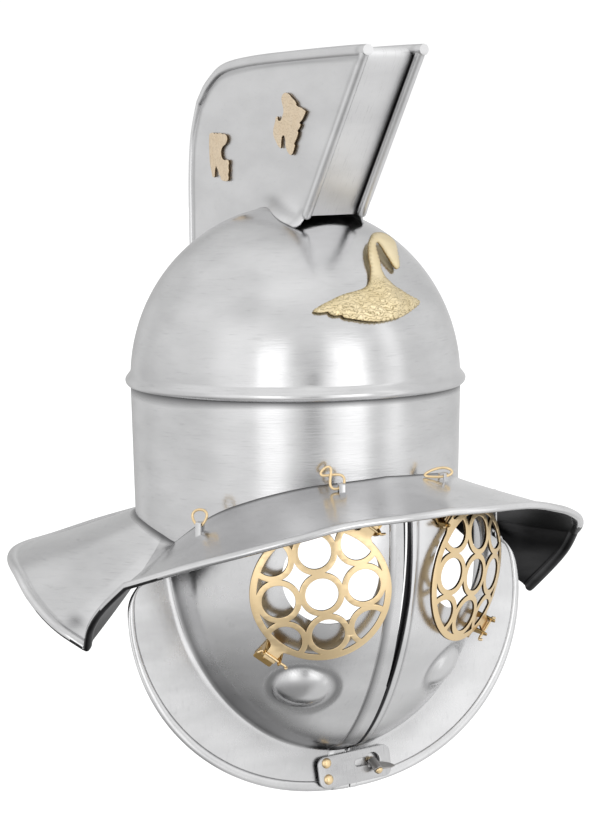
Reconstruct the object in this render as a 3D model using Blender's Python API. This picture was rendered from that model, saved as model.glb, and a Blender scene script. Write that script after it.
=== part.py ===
# Gladiator helmet: a bowl with a box crest, a wide brim, and a face guard in two halves.
# Lengths are millimetres until a mesh is made, and heights count from the bead ring round the bowl.
# The face looks along -Y, +X is the wearer's left, and the world origin is the inside of the crown.

import math

import bmesh
import bpy
import numpy as np
from mathutils import Vector
from mathutils.bvhtree import BVHTree
from mathutils.geometry import tessellate_polygon

MM = 0.001
GAP = 0.3
SHEET = 1.5
MERGE = 0.05  # points closer than this are one point after a cut

# Bowl
BOWL_RADIUS = 107.3
DOME_HEIGHT = 112.0
WALL_TAPER = 0.022
BEAD_PROUD = 3.2
BEAD_HALF_HEIGHT = 5.0
DOME_ROWS = 8
LIP = 0.6

# Brim stations from the middle of the face to the middle of the back
BRIM_FIELDS = ("wall_deg", "wall_z", "edge_deg", "edge_r", "edge_z")
BRIM_FRONT = (
    (0.0, -52.0, 0.0, 178.0, -64.5),
    (20.0, -54.4, 20.0, 182.0, -67.2),
    (32.0, -57.4, 31.0, 186.5, -74.0),
    (46.0, -64.2, 42.0, 187.3, -83.5),
    (61.0, -75.3, 53.0, 187.5, -94.0),
    (78.5, -95.7, 65.0, 189.0, -107.0),
)
BRIM_REAR = (
    (78.5, -95.7, 65.0, 189.0, -107.0),
    (80.5, -94.8, 71.0, 187.8, -123.5),
    (82.5, -93.8, 76.0, 183.0, -138.5),
    (85.0, -92.5, 80.7, 174.5, -155.0),
    (88.0, -91.4, 84.5, 184.0, -145.5),
    (92.0, -90.1, 89.5, 187.0, -138.0),
    (98.0, -88.5, 96.0, 188.5, -128.5),
    (106.0, -87.4, 105.0, 189.5, -117.0),
    (122.0, -87.0, 122.0, 189.0, -114.0),
    (145.0, -87.0, 145.0, 185.5, -117.0),
    (163.0, -87.0, 163.0, 182.0, -113.0),
    (180.0, -87.0, 180.0, 180.0, -107.0),
)
FRONT_STEPS = 2
REAR_STEPS = 1
BRIM_FLARE = 0.86
HEM_WIDTH = 6.0
HEM_PROUD = 1.8

# Face guard: a flange in a steep plane round a bulge of circular sections
FLANGE_Y = -45.6
FLANGE_Z = -159.0
FLANGE_SLOPE = 0.148
BULGE_TOP_Z = -60.0
BULGE_WIDEST_Z = -105.0
BULGE_BOTTOM_Z = -236.0
BULGE_HALF_WIDTH = 117.5
BULGE_DEPTH = 98.5
BULGE_POWER = 1.76
BULGE_ROUND = 0.7
FILLET_START = 0.935
FILLET_END = 1.0
RIM_HALF_WIDTH = 149.0
RIM_MID_Z = -135.0
RIM_DROP = 126.0
RIM_POWER = 2.1
RIM_CORNER = ((147.0, -126.5), (141.5, -118.5), (133.0, -112.5))
RIM_HEM_PROUD = 1.2
SEAM_TOP = 1.3
SEAM_BOTTOM = 0.5
RIGHT_STRIP = 9.2
LEFT_STRIP = 4.5
STRIP_PROUD = 1.0
BOSS = {"x": 54.0, "z": -182.6, "half_x": 18.0, "half_z": 14.5, "proud": 5.0}
EYE_CENTRE = (48.5, -118.3, -108.5)
EYE_RADIUS = 30.0

# Grilles over the eyes
GRILLE_CENTRE = (54.0, -114.7, -117.2)
GRILLE_TURN = 25.0
GRILLE_TILT = 5.7
GRILLE_RADIUS = 43.7
GRILLE_DOME = 6.0
GRILLE_SHEET = 1.6
RING_PITCH = 26.6
RING_HOLE = 10.2
RING_OUTER = 13.9
RIM_INNER = 39.5
PATTERN_TURN = -9.5
TAB_ANGLE = -53.0
TAB_WIDTH = 8.4
TAB_REACH = 9.8
BRACKET = {"length": 15.0, "width": 13.0, "sheet": 1.2, "ear": 6.0, "past_pin": 3.0}
PIN_REACH = 50.3
WIRE = 0.85

# Crest: two side plates in a V from the back edge, with a strip between them
CREST_BACK_Y = 131.0
CREST_BACK_X = 2.2
CREST_FRONT_X = 20.3
CREST_FRONT_LOW = (-48.0, 108.0)
CREST_FRONT_TOP = (-116.0, 210.0)
CREST_BEAD = 2.9
CREST_OUTLINE_BACK = (
    (88.0, 64.0), (104.0, 57.5), (121.0, 59.5), (131.0, 70.0), (132.5, 100.0), (132.0, 132.0),
    (128.4, 154.0), (118.0, 175.8), (100.4, 192.0), (77.0, 202.5), (36.0, 207.3),
    (-32.0, 210.4), (-90.8, 212.4), (-115.0, 213.5),
)
CREST_FOOT = {"y": -27.0, "front_spread": 20.0, "rear_spread": 29.0, "flare": 9.8, "rise": 17.0}
CREST_FLOOR = (-42.0, 80.0)
CREST_FLOOR_STEPS = 9
STRIP_RECESS = 5.0

# Side of the crest's cut-outs: outline points (y, z) in the order round each piece
WINGED_CUTOUT = (
    (-8, 179), (-14, 184), (-24, 183), (-27, 177), (-41, 173), (-40, 168), (-33, 157), (-26, 144),
    (-18, 145), (-13, 155), (-9, 156), (-9, 149), (-2, 151), (3, 155), (0, 160), (1, 167), (-7, 166),
    (-10, 172),
)
LEGGED_CUTOUT = (
    (99, 157), (77, 156.5), (70, 153), (72, 149), (79, 147), (80, 142), (73, 139), (67, 139), (68, 125),
    (81, 125), (82, 131), (87, 134), (92, 131), (92, 127), (96, 128),
)
CUTOUT_SHEET = 1.6

# Swan on the front of the dome: outline points (arc, z), arc counted towards the wearer's right
SWAN_OUTLINE = (
    (42, 51), (25, 47.5), (17, 45), (4, 43.6), (-13, 43.6), (-22, 45.3), (-35, 49.2), (-42.5, 53.8),
    (-36, 57.6), (-26, 61.8), (-17, 64.5), (-14, 71), (-11.5, 76), (-13, 83), (-17, 89), (-21, 91.5),
    (-24, 88), (-25.5, 82), (-26.5, 75), (-30, 76.5), (-33, 84), (-32, 92), (-27, 97), (-20, 98.5),
    (-13, 96), (-8, 90), (-6, 83), (-6.5, 76), (-5, 71), (-1, 66.5), (6, 63.5), (15, 61.6), (25, 58.6),
    (34, 54),
)
SWAN_THICK = 2.4
SWAN_LIFT_FROM = 60.0
SWAN_LIFT = 8.0
SWAN_CUT_STEP = 10.0

# Steel staples through the brim, with a loose wire ring in each
STAPLE = {"radial": 5.4, "wide": 3.8, "sheet": 1.1}
STAPLE_PLACES = (
    {"name": "front", "deg": 18.4, "r": 119.8, "top": -52.0, "low": -74.0},
    {"name": "side", "deg": 59.0, "r": 128.8, "top": -75.6, "low": -99.0},
)
RINGS = {
    "front_left": {"along": 9.0, "across": 4.4, "shift": 1.7, "lean": 48.0, "tilt": 4.0},
    "front_right": {"along": 5.2, "across": 6.2, "shift": 0.0, "lean": 26.0, "tilt": 18.0},
    "side_left": {"along": 4.6, "across": 4.4, "shift": 0.0, "lean": 62.0, "tilt": 0.0},
    "side_right": {"along": 4.9, "across": 4.7, "shift": 0.3, "lean": 14.0, "tilt": 6.0},
}
RING_POINTS = 14

# Chin clasp
HASP = {"x": 4.2, "z": -247.8, "width": 55.0, "height": 20.5, "corner": 5.5, "stand": 2.4, "turn": 2.5}
HASP_RIVETS = ((-17.2, -242.6), (-16.6, -253.1))
RIVET_RADIUS = 3.4
RIVET_HEIGHT = 2.0
KEY_AT = (18.0, -245.8)
KEY_DROOP = 31.0
KEY_START = -0.6
KEY_LENGTH = 9.8
KEY_BORE = 1.9
KEY_OUTER = 3.0
KEY_WING = {"reach": 13.5, "from": 3.6, "thick": 1.2}
CLASP_PIN = {"shank": 1.5, "head": 2.5, "start": -2.2}
KEYHOLE = {"radius": 5.3, "slot": 2.4, "left_x": 4.2}

FINISHES = {
    "steel": {"color": (0.62, 0.62, 0.63), "roughness": 0.28},
    "brass": {"color": (0.83, 0.62, 0.28), "roughness": 0.3},
}


def lerp(a, b, t):
    return a + (b - a) * t


def polar(radius, degrees, z):
    """A point at an angle from the front, counted towards the wearer's left."""
    angle = math.radians(degrees)
    return Vector((radius * math.sin(angle), -radius * math.cos(angle), z))


def dome_radius(z):
    return BOWL_RADIUS * math.sqrt(max(1.0 - (z / DOME_HEIGHT) ** 2, 0.0))


def dome_height(x, y):
    return DOME_HEIGHT * math.sqrt(max(1.0 - (x * x + y * y) / BOWL_RADIUS ** 2, 0.0))


def wall_radius(z):
    return BOWL_RADIUS + WALL_TAPER * min(z, 0.0)


def smooth_rows(table, steps):
    """The table's rows with a Catmull-Rom curve through them, steps pieces to each span."""
    rows = np.array(table)
    padded = np.vstack((2 * rows[0] - rows[1], rows, 2 * rows[-1] - rows[-2]))
    out = []
    for i in range(len(rows) - 1):
        p0, p1, p2, p3 = padded[i:i + 4]
        for k in range(steps):
            t = k / steps
            out.append(0.5 * (2 * p1 + (p2 - p0) * t + (2 * p0 - 5 * p1 + 4 * p2 - p3) * t ** 2
                              + (3 * p1 - p0 - 3 * p2 + p3) * t ** 3))
    out.append(rows[-1])
    return out


def brim_stations():
    """Dictionaries round the whole brim, from the front by the wearer's left to the front again."""
    half = smooth_rows(BRIM_FRONT, FRONT_STEPS)[:-1] + smooth_rows(BRIM_REAR, REAR_STEPS)
    left = [dict(zip(BRIM_FIELDS, row)) for row in half]
    right = []
    for station in left[-2:0:-1]:
        mirror = dict(station)
        mirror["wall_deg"] = -station["wall_deg"]
        mirror["edge_deg"] = -station["edge_deg"]
        right.append(mirror)
    return left + right


def make_material(name, finish):
    material = bpy.data.materials.new(name)
    material.use_nodes = True
    shader = material.node_tree.nodes["Principled BSDF"]
    shader.inputs["Base Color"].default_value = (*FINISHES[finish]["color"], 1.0)
    shader.inputs["Roughness"].default_value = FINISHES[finish]["roughness"]
    shader.inputs["Metallic"].default_value = 1.0
    return material


def add_solid(name, points, faces, finish, origin=(0.0, 0.0, 0.0)):
    """A closed object from millimetre points, with its own origin on the helmet's root."""
    place = Vector(origin)
    mesh = bpy.data.meshes.new(name)
    mesh.from_pydata([(Vector(p) - place) * MM for p in points], [], faces)
    shape = bmesh.new()
    shape.from_mesh(mesh)
    bmesh.ops.remove_doubles(shape, verts=shape.verts, dist=0.02 * MM)
    bmesh.ops.recalc_face_normals(shape, faces=shape.faces)
    shape.to_mesh(mesh)
    shape.free()
    obj = bpy.data.objects.new(name, mesh)
    bpy.context.collection.objects.link(obj)
    obj.parent = bpy.data.objects["helmet"]
    obj.location = place * MM
    obj.data.materials.append(make_material(name + "_finish", finish))
    return obj


def mirror_points(points):
    return [(-p[0], p[1], p[2]) for p in points]


def add_pair(name, points, faces, finish):
    """The same piece on both sides; the points are the wearer's left one's."""
    left = add_solid(name + "_left", points, faces, finish)
    right = add_solid(name + "_right", mirror_points(points), faces, finish)
    return left, right


def grid_faces(rows, columns, first=0, closed=False):
    """Quads of a grid stored row by row; closed joins the last column to the first."""
    faces = []
    for i in range(rows - 1):
        for j in range(columns if closed else columns - 1):
            k = (j + 1) % columns
            a = first + i * columns
            faces.append((a + j, a + k, a + columns + k, a + columns + j))
    return faces


def plate(outlines, thick, place, cuts=()):
    """Points and faces of a flat plate with holes, bent by place(u, v, w) along its cuts.

    A cut is a line across the plate, given as its distance from the centre and its direction.
    """
    flat = [Vector((u, v, 0.0)) for loop in outlines for u, v in loop]
    triangles = tessellate_polygon([[Vector((u, v, 0.0)) for u, v in loop] for loop in outlines])
    shape = bmesh.new()
    verts = [shape.verts.new(p) for p in flat]
    for triangle in triangles:
        shape.faces.new([verts[i] for i in triangle])
    for distance, degrees in cuts:
        normal = Vector((math.cos(math.radians(degrees)), math.sin(math.radians(degrees)), 0.0))
        geometry = shape.verts[:] + shape.edges[:] + shape.faces[:]
        bmesh.ops.bisect_plane(shape, geom=geometry, plane_co=normal * distance, plane_no=normal)
    shape.verts.ensure_lookup_table()
    shape.verts.index_update()
    count = len(shape.verts)
    points = [place(v.co.x, v.co.y, 0.0) for v in shape.verts]
    points += [place(v.co.x, v.co.y, thick) for v in shape.verts]
    lower = [[v.index for v in face.verts] for face in shape.faces]
    faces = lower + [[i + count for i in face] for face in lower]
    for edge in shape.edges:
        if len(edge.link_faces) == 1:
            a, b = edge.verts[0].index, edge.verts[1].index
            faces.append((a, b, b + count, a + count))
    shape.free()
    return points, faces


def tube(path, radius, sides, closed=False):
    """Points and faces of a wire along a path; an open one has flat ends."""
    path = [Vector(p) for p in path]
    points = []
    side = None
    for i, here in enumerate(path):
        ahead = path[(i + 1) % len(path)] if closed or i + 1 < len(path) else here
        behind = path[i - 1] if closed or i > 0 else here
        along = (ahead - behind).normalized()
        side = (side or along.orthogonal()) - along * (side or along.orthogonal()).dot(along)
        side.normalize()
        up = along.cross(side)
        for k in range(sides):
            turn = 2 * math.pi * k / sides
            points.append(here + radius * (math.cos(turn) * side + math.sin(turn) * up))
    faces = grid_faces(len(path), sides, closed=True)
    last = (len(path) - 1) * sides
    if closed:
        faces += [(last + k, last + (k + 1) % sides, (k + 1) % sides, k) for k in range(sides)]
    else:
        faces += [tuple(range(sides)), tuple(range(last, last + sides))]
    return points, faces


def turned(profile, frame, sides):
    """Points and faces of a solid turned about the frame's w axis from (radius, w) pairs."""
    points = []
    for radius, w in profile:
        for k in range(sides):
            turn = 2 * math.pi * k / sides
            points.append(frame(radius * math.cos(turn), radius * math.sin(turn), w))
    last = (len(profile) - 1) * sides
    faces = grid_faces(len(profile), sides, closed=True)
    return points, faces + [tuple(range(sides)), tuple(range(last, last + sides))]


def frame_at(origin, u_axis, v_axis, w_axis):
    """A function that places (u, v, w) in the frame."""
    origin, u_axis, v_axis, w_axis = (Vector(v) for v in (origin, u_axis, v_axis, w_axis))
    return lambda u, v, w: origin + u * u_axis + v * v_axis + w * w_axis


def cut(target, name, points, faces, operation="DIFFERENCE"):
    """Apply an exact boolean between the target and a scratch solid."""
    cutter = add_solid(name, points, faces, "steel")
    cutter.hide_render = True
    cutter.display_type = "WIRE"
    bpy.context.view_layer.update()
    modifier = target.modifiers.new(name, "BOOLEAN")
    modifier.operation = operation
    modifier.solver = "EXACT"
    modifier.object = cutter
    evaluated = target.evaluated_get(bpy.context.evaluated_depsgraph_get())
    result = bpy.data.meshes.new_from_object(evaluated)
    shape = bmesh.new()
    shape.from_mesh(result)
    bmesh.ops.remove_doubles(shape, verts=shape.verts, dist=MERGE * MM)
    bmesh.ops.dissolve_degenerate(shape, edges=shape.edges, dist=MERGE * MM)
    shape.to_mesh(result)
    shape.free()
    target.modifiers.remove(modifier)
    target.data = result
    bpy.data.objects.remove(cutter)


def arc(centre, radius, start, end, steps):
    """Points of an arc in degrees, without its last point."""
    out = []
    for k in range(steps):
        angle = math.radians(lerp(start, end, k / steps))
        out.append((centre[0] + radius * math.cos(angle), centre[1] + radius * math.sin(angle)))
    return out


def add_bowl(stations):
    columns = len(stations)
    outer = []
    for i in range(1, DOME_ROWS + 1):
        z = DOME_HEIGHT * math.cos(0.5 * math.pi * i / (DOME_ROWS + 1))
        outer.append((dome_radius(z), z))
    bead = BEAD_HALF_HEIGHT
    outer += [(BOWL_RADIUS, bead), (BOWL_RADIUS + BEAD_PROUD, 0.35 * bead),
              (BOWL_RADIUS + BEAD_PROUD, -0.35 * bead), (wall_radius(-bead), -1.2 * bead)]
    points = []
    for radius, z in outer:
        points += [polar(radius, s["wall_deg"], z) for s in stations]
    points += [polar(wall_radius(s["wall_z"]), s["wall_deg"], s["wall_z"] + GAP) for s in stations]
    inner = [(wall_radius(-bead) - SHEET, -1.2 * bead)]
    inner += [(radius - SHEET, z) for radius, z in outer[DOME_ROWS - 1::-1]]
    points += [polar(wall_radius(s["wall_z"]) - SHEET, s["wall_deg"], s["wall_z"] + GAP) for s in stations]
    for radius, z in inner:
        points += [polar(radius, s["wall_deg"], z - SHEET * max(z, 0.0) / DOME_HEIGHT) for s in stations]
    rows = len(points) // columns
    faces = grid_faces(rows, columns, closed=True)
    top = len(points)
    points += [(0.0, 0.0, DOME_HEIGHT), (0.0, 0.0, DOME_HEIGHT - SHEET)]
    last = (rows - 1) * columns
    for j in range(columns):
        k = (j + 1) % columns
        faces += [(top, j, k), (top + 1, last + j, last + k)]
    return add_solid("bowl", points, faces, "steel")


def brim_point(station, reach):
    """A point on the brim's top face; reach is 0 at the wall and 1 at the edge."""
    wall = polar(wall_radius(station["wall_z"]), station["wall_deg"], station["wall_z"])
    edge = polar(station["edge_r"], station["edge_deg"], station["edge_z"])
    point = wall.lerp(edge, reach)
    point.z = lerp(wall.z, edge.z, reach ** BRIM_FLARE)
    return point


def add_brim(stations):
    reaches = (0.03, 0.3, 0.62)
    hem = ((HEM_WIDTH, 0.0), (0.6 * HEM_WIDTH, HEM_PROUD), (0.15 * HEM_WIDTH, 0.6 * HEM_PROUD),
           (0.0, -SHEET), (0.5 * HEM_WIDTH, -SHEET - HEM_PROUD), (HEM_WIDTH, -SHEET))
    rings = []
    for i, station in enumerate(stations):
        ahead = stations[(i + 1) % len(stations)]
        behind = stations[i - 1]
        wall = brim_point(station, 0.0)
        edge = brim_point(station, 1.0)
        outward = (edge - brim_point(station, 0.9)).normalized()
        along = (brim_point(ahead, 0.9) - brim_point(behind, 0.9)).normalized()
        normal = outward.cross(along).normalized()
        normal *= 1.0 if normal.z > 0 else -1.0
        inside = polar(wall_radius(wall.z) - SHEET, station["wall_deg"], wall.z)
        lip = polar(wall_radius(wall.z) + LIP, station["wall_deg"], wall.z)
        down = Vector((0.0, 0.0, -SHEET))
        ring = [inside, lip] + [brim_point(station, r) for r in reaches[1:]]
        ring += [edge - outward * back + normal * rise for back, rise in hem]
        ring += [brim_point(station, r) + down for r in reaches[:0:-1]]
        ring += [lip + down, inside + down]
        rings.append(ring)
    size = len(rings[0])
    points = [p for ring in rings for p in ring]
    faces = grid_faces(len(rings), size, closed=True)
    last = (len(rings) - 1) * size
    faces += [(last + j, last + (j + 1) % size, (j + 1) % size, j) for j in range(size)]
    brim = add_solid("brim", points, faces, "steel")
    for staple in STAPLE_PLACES:
        cut_staple_slot(brim, staple, 1)
        cut_staple_slot(brim, staple, -1)
    return brim


def staple_frame(staple, side):
    """Frame of a staple: u outwards, v up, w round the wall."""
    outward = polar(1.0, side * staple["deg"], 0.0)
    origin = polar(staple["r"], side * staple["deg"], staple["top"])
    return frame_at(origin, outward, (0, 0, 1), outward.cross(Vector((0, 0, 1))))


def cut_staple_slot(brim, staple, side):
    half = 0.5 * STAPLE["radial"] + GAP
    wide = STAPLE["wide"] + 2 * GAP
    place = staple_frame(staple, side)
    low = staple["low"] - staple["top"]
    outline = [(-half, low), (half, low), (half, 0.0), (-half, 0.0)]
    slot, faces = plate([outline], wide, lambda u, v, w: place(u, v, w - 0.5 * wide))
    cut(brim, "slot", slot, faces)


def add_staples_and_rings():
    half, sheet, wide = 0.5 * STAPLE["radial"], STAPLE["sheet"], STAPLE["wide"]
    for staple in STAPLE_PLACES:
        low = staple["low"] - staple["top"]
        outline = [(-half, low), (sheet - half, low), (sheet - half, -sheet), (half - sheet, -sheet),
                   (half - sheet, low), (half, low), (half, -0.8 * sheet), (half - 0.8 * sheet, 0.0),
                   (0.8 * sheet - half, 0.0), (-half, -0.8 * sheet)]
        for side, word in ((1, "left"), (-1, "right")):
            place = staple_frame(staple, side)
            points, faces = plate([outline], wide, lambda u, v, w: place(u, v, w - 0.5 * wide))
            add_solid(f"staple_{staple['name']}_{word}", points, faces, "steel")
            add_ring(f"{staple['name']}_{word}", place, -sheet - 2 * GAP - WIRE)


def add_ring(name, place, height):
    """A wire ring that runs through a staple and leans towards the wall."""
    ring = RINGS[name]
    lean, tilt = math.radians(ring["lean"]), math.radians(ring["tilt"])
    path = []
    for k in range(RING_POINTS):
        turn = 2 * math.pi * k / RING_POINTS
        rise = ring["across"] * (1.0 - math.cos(turn))
        w = ring["shift"] + ring["along"] * math.sin(turn) + rise * math.sin(tilt)
        path.append(place(-rise * math.sin(lean), height + rise * math.cos(tilt) * math.cos(lean), w))
    points, faces = tube(path, WIRE, 6, closed=True)
    add_solid("staple_ring_" + name, points, faces, "brass")


def flange_y(z):
    return FLANGE_Y + FLANGE_SLOPE * (z - FLANGE_Z)


def bulge_ratio(x, z):
    """1 on the line where the bulge meets the flange, less inside it."""
    below = min(z - BULGE_WIDEST_Z, 0.0) / (BULGE_WIDEST_Z - BULGE_BOTTOM_Z)
    return math.hypot(x / BULGE_HALF_WIDTH, below)


def plain_bulge(x, z):
    """Depth of the bulge before its fillet: a circle's segment in each level section."""
    fall = (BULGE_TOP_Z - z) / (BULGE_TOP_Z - BULGE_BOTTOM_Z)
    depth = BULGE_DEPTH * (1.0 - max(fall, 0.0) ** BULGE_POWER) ** BULGE_ROUND
    below = min(z - BULGE_WIDEST_Z, 0.0) / (BULGE_WIDEST_Z - BULGE_BOTTOM_Z)
    half = BULGE_HALF_WIDTH * math.sqrt(1.0 - below ** 2)
    radius = (depth ** 2 + half ** 2) / (2 * depth)
    return math.sqrt(radius ** 2 - x ** 2) - (radius - depth)


def bulge(x, z):
    ratio = bulge_ratio(x, z)
    if ratio <= FILLET_START:
        return plain_bulge(x, z)
    if ratio >= FILLET_END:
        return 0.0
    shrink = FILLET_START / ratio
    near = shrink * 0.99
    below = min(z - BULGE_WIDEST_Z, 0.0)
    above = z - below
    start = plain_bulge(x * shrink, above + below * shrink)
    slope = (start - plain_bulge(x * near, above + below * near)) / (0.01 * FILLET_START)
    span = FILLET_END - FILLET_START
    t = (ratio - FILLET_START) / span
    return start * (2 * t ** 3 - 3 * t ** 2 + 1) + slope * span * (t ** 3 - 2 * t ** 2 + t)


def visor_point(x, z, strip=0.0, proud=0.0):
    """A point on the face guard's outer face, on the wearer's left."""
    raised = STRIP_PROUD if 0.0 <= x <= strip and strip > 0.0 else 0.0
    return Vector((x, flange_y(z) - bulge(x, z) - raised - proud, z))


def visor_normal(x, z):
    step = 0.5
    across = visor_point(x + step, z) - visor_point(x - step, z)
    up = visor_point(x, z + step) - visor_point(x, z - step)
    return across.cross(up).normalized()


def under_brim(tree, x, z):
    """Height of the face guard's top edge at x, just under the brim."""
    for _ in range(4):
        y = visor_point(x, z).y
        hit = tree.ray_cast(Vector((x, y, -400.0)) * MM, Vector((0, 0, 1)))[0]
        z = hit.z / MM - 0.7
    return z


def rim_point(turn):
    """A point on the flange's outline; turn is 90 degrees at the chin and 0 at the ear."""
    angle = math.radians(turn)
    power = 2.0 / RIM_POWER
    return (RIM_HALF_WIDTH * abs(math.cos(angle)) ** power, RIM_MID_Z - RIM_DROP * math.sin(angle) ** power)


def line_end(x, half_x, mid_z, drop, power):
    """The bottom of a superellipse under x."""
    return mid_z - drop * (1.0 - (x / half_x) ** power) ** (1.0 / power)


def visor_lines(tree, strip):
    """Paths (x, z) from the top edge down to the rim, from the seam to the top corner."""
    bulge_drop = BULGE_WIDEST_Z - BULGE_BOTTOM_Z
    ratios = (FILLET_START, 0.957, 0.98, FILLET_END)
    turns = (80.0, 70.0, 60.0, 50.0, 40.0, 30.0, 20.0, 10.0, 0.0)
    corner_turns = (8.0, 0.0, -2.5)
    lines = []
    for x in (0.0, strip, strip + 0.6):
        top = (x, under_brim(tree, x, BULGE_TOP_Z))
        rings = [(x, line_end(x, BULGE_HALF_WIDTH * q, BULGE_WIDEST_Z, bulge_drop * q, 2.0)) for q in ratios]
        lines.append((top, rings, (x, line_end(x, RIM_HALF_WIDTH, RIM_MID_Z, RIM_DROP, RIM_POWER))))
    for i, turn in enumerate(turns):
        angle = math.radians(turn)
        x = lerp(strip + 0.6, FILLET_START * BULGE_HALF_WIDTH, ((i + 1) / (len(turns) + 1)) ** 0.9)
        rings = [(BULGE_HALF_WIDTH * q * math.cos(angle), BULGE_WIDEST_Z - bulge_drop * q * math.sin(angle))
                 for q in ratios]
        rim = rim_point(turn) if turn > 5.0 else RIM_CORNER[0]
        lines.append(((x, under_brim(tree, x, BULGE_TOP_Z)), rings, rim))
    edge = []
    for q in ratios:
        x = BULGE_HALF_WIDTH * q
        edge.append((x, under_brim(tree, x, -95.0)))
    mid = [lerp(np.array(a), np.array(b), 0.5) for a, b in zip(lines[-1][1], edge)]
    top = (0.5 * (lines[-1][0][0] + edge[0][0]), 0.0)
    lines.append(((top[0], under_brim(tree, top[0], -95.0)), mid, RIM_CORNER[1]))
    lines.append((edge[0], edge, RIM_CORNER[2]))
    return lines


def add_visor(name, side, tree, strip):
    """One half of the face guard, with its eye cut out and its cheek boss raised."""
    rows = []
    for top, rings, rim in visor_lines(tree, strip):
        top, rim = np.array(top), np.array(rim)
        rings = [np.array(r) for r in rings]
        path = [(lerp(top, rings[0], k / 8), 0.0) for k in range(8)]
        path += [(ring, 0.0) for ring in rings]
        inward = (rings[-1] - rim) / max(np.linalg.norm(rings[-1] - rim), 1.0)
        crease = rim + inward * min(HEM_WIDTH + 0.5, 0.8 * np.linalg.norm(rings[-1] - rim))
        path += [(lerp(rings[-1], crease, 0.5), 0.0), (crease, 0.0),
                 (lerp(crease, rim, 0.4), RIM_HEM_PROUD), (lerp(crease, rim, 0.85), RIM_HEM_PROUD),
                 (rim, 0.0)]
        rows.append(path)
    outer, inner = [], []
    for path in rows:
        for (x, z), proud in path:
            gap = lerp(SEAM_TOP, SEAM_BOTTOM, min(max((BULGE_TOP_Z - z) / 200.0, 0.0), 1.0))
            shift = Vector((gap * max(1.0 - x / BULGE_HALF_WIDTH, 0.0), 0.0, 0.0))
            inner.append(visor_point(x, z) + shift - visor_normal(x, z) * SHEET)
            outer.append(visor_point(x, z, strip, proud) + shift)
    columns = len(rows[0])
    count = len(outer)
    faces = grid_faces(len(rows), columns) + grid_faces(len(rows), columns, first=count)
    border = [i * columns for i in range(len(rows))]
    border += [(len(rows) - 1) * columns + j for j in range(1, columns)]
    border += [i * columns + columns - 1 for i in range(len(rows) - 2, -1, -1)]
    border += [j for j in range(columns - 2, 0, -1)]
    for a, b in zip(border, border[1:] + border[:1]):
        faces.append((a, b, b + count, a + count))
    points = outer + inner
    turn = math.radians(GRILLE_TURN)
    normal = Vector((math.sin(turn), -math.cos(turn), 0.0))
    across = Vector((math.cos(turn), math.sin(turn), 0.0))
    eye = frame_at(EYE_CENTRE, across, (0, 0, 1), normal)
    eye_points, eye_faces = turned(((EYE_RADIUS, -30.0), (EYE_RADIUS, 30.0)), eye, 24)
    boss_points, boss_faces = boss_body()
    if side < 0:
        points, eye_points, boss_points = (mirror_points(p) for p in (points, eye_points, boss_points))
    visor = add_solid(name, points, faces, "steel")
    cut(visor, "eye", eye_points, eye_faces)
    cut(visor, "boss", boss_points, boss_faces, "UNION")
    return visor


def boss_body():
    """A lens that follows the sheet at the cheek, from halfway through it outwards."""
    normal = visor_normal(BOSS["x"], BOSS["z"])
    across = Vector((0, 0, 1)).cross(normal).normalized() * -1.0
    up = normal.cross(across)
    profile = ((0.4, -0.5 * SHEET), (1.0, -0.5 * SHEET), (0.97, 1.0), (0.75, 0.72 * BOSS["proud"]),
               (0.4, BOSS["proud"]))
    sides = 16
    points = []
    for scale, w in profile:
        for k in range(sides):
            turn = 2 * math.pi * k / sides
            slip = across * (scale * BOSS["half_x"] * math.cos(turn))
            slip += up * (scale * BOSS["half_z"] * math.sin(turn))
            x, z = BOSS["x"] + slip.x, BOSS["z"] + slip.z
            points.append(visor_point(x, z) + visor_normal(x, z) * w)
    last = (len(profile) - 1) * sides
    faces = grid_faces(len(profile), sides, closed=True)
    return points, faces + [tuple(range(sides)), tuple(range(last, last + sides))]


def grille_axes():
    turn, tilt = math.radians(GRILLE_TURN), math.radians(GRILLE_TILT)
    normal = Vector((math.sin(turn) * math.cos(tilt), -math.cos(turn) * math.cos(tilt), -math.sin(tilt)))
    across = Vector((math.cos(turn), math.sin(turn), 0.0))
    return across, normal.cross(across), normal


def grille_place(u, v, w):
    across, up, normal = grille_axes()
    rise = GRILLE_DOME * max(1.0 - (u * u + v * v) / GRILLE_RADIUS ** 2, 0.0)
    return Vector(GRILLE_CENTRE) + u * across + v * up + (w + rise) * normal


def turn_points(points, degrees):
    angle = math.radians(degrees)
    cosine, sine = math.cos(angle), math.sin(angle)
    return [(u * cosine - v * sine, u * sine + v * cosine) for u, v in points]


def ring_meets_rim(centre, radius):
    """Angles, seen from the ring's centre, where a ring crosses the rim's inner edge."""
    distance = math.hypot(*centre)
    along = (RIM_INNER ** 2 - distance ** 2 - radius ** 2) / (2 * distance * radius)
    half = math.degrees(math.acos(along))
    heading = math.degrees(math.atan2(centre[1], centre[0]))
    return heading + half, heading - half + 360.0


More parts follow.
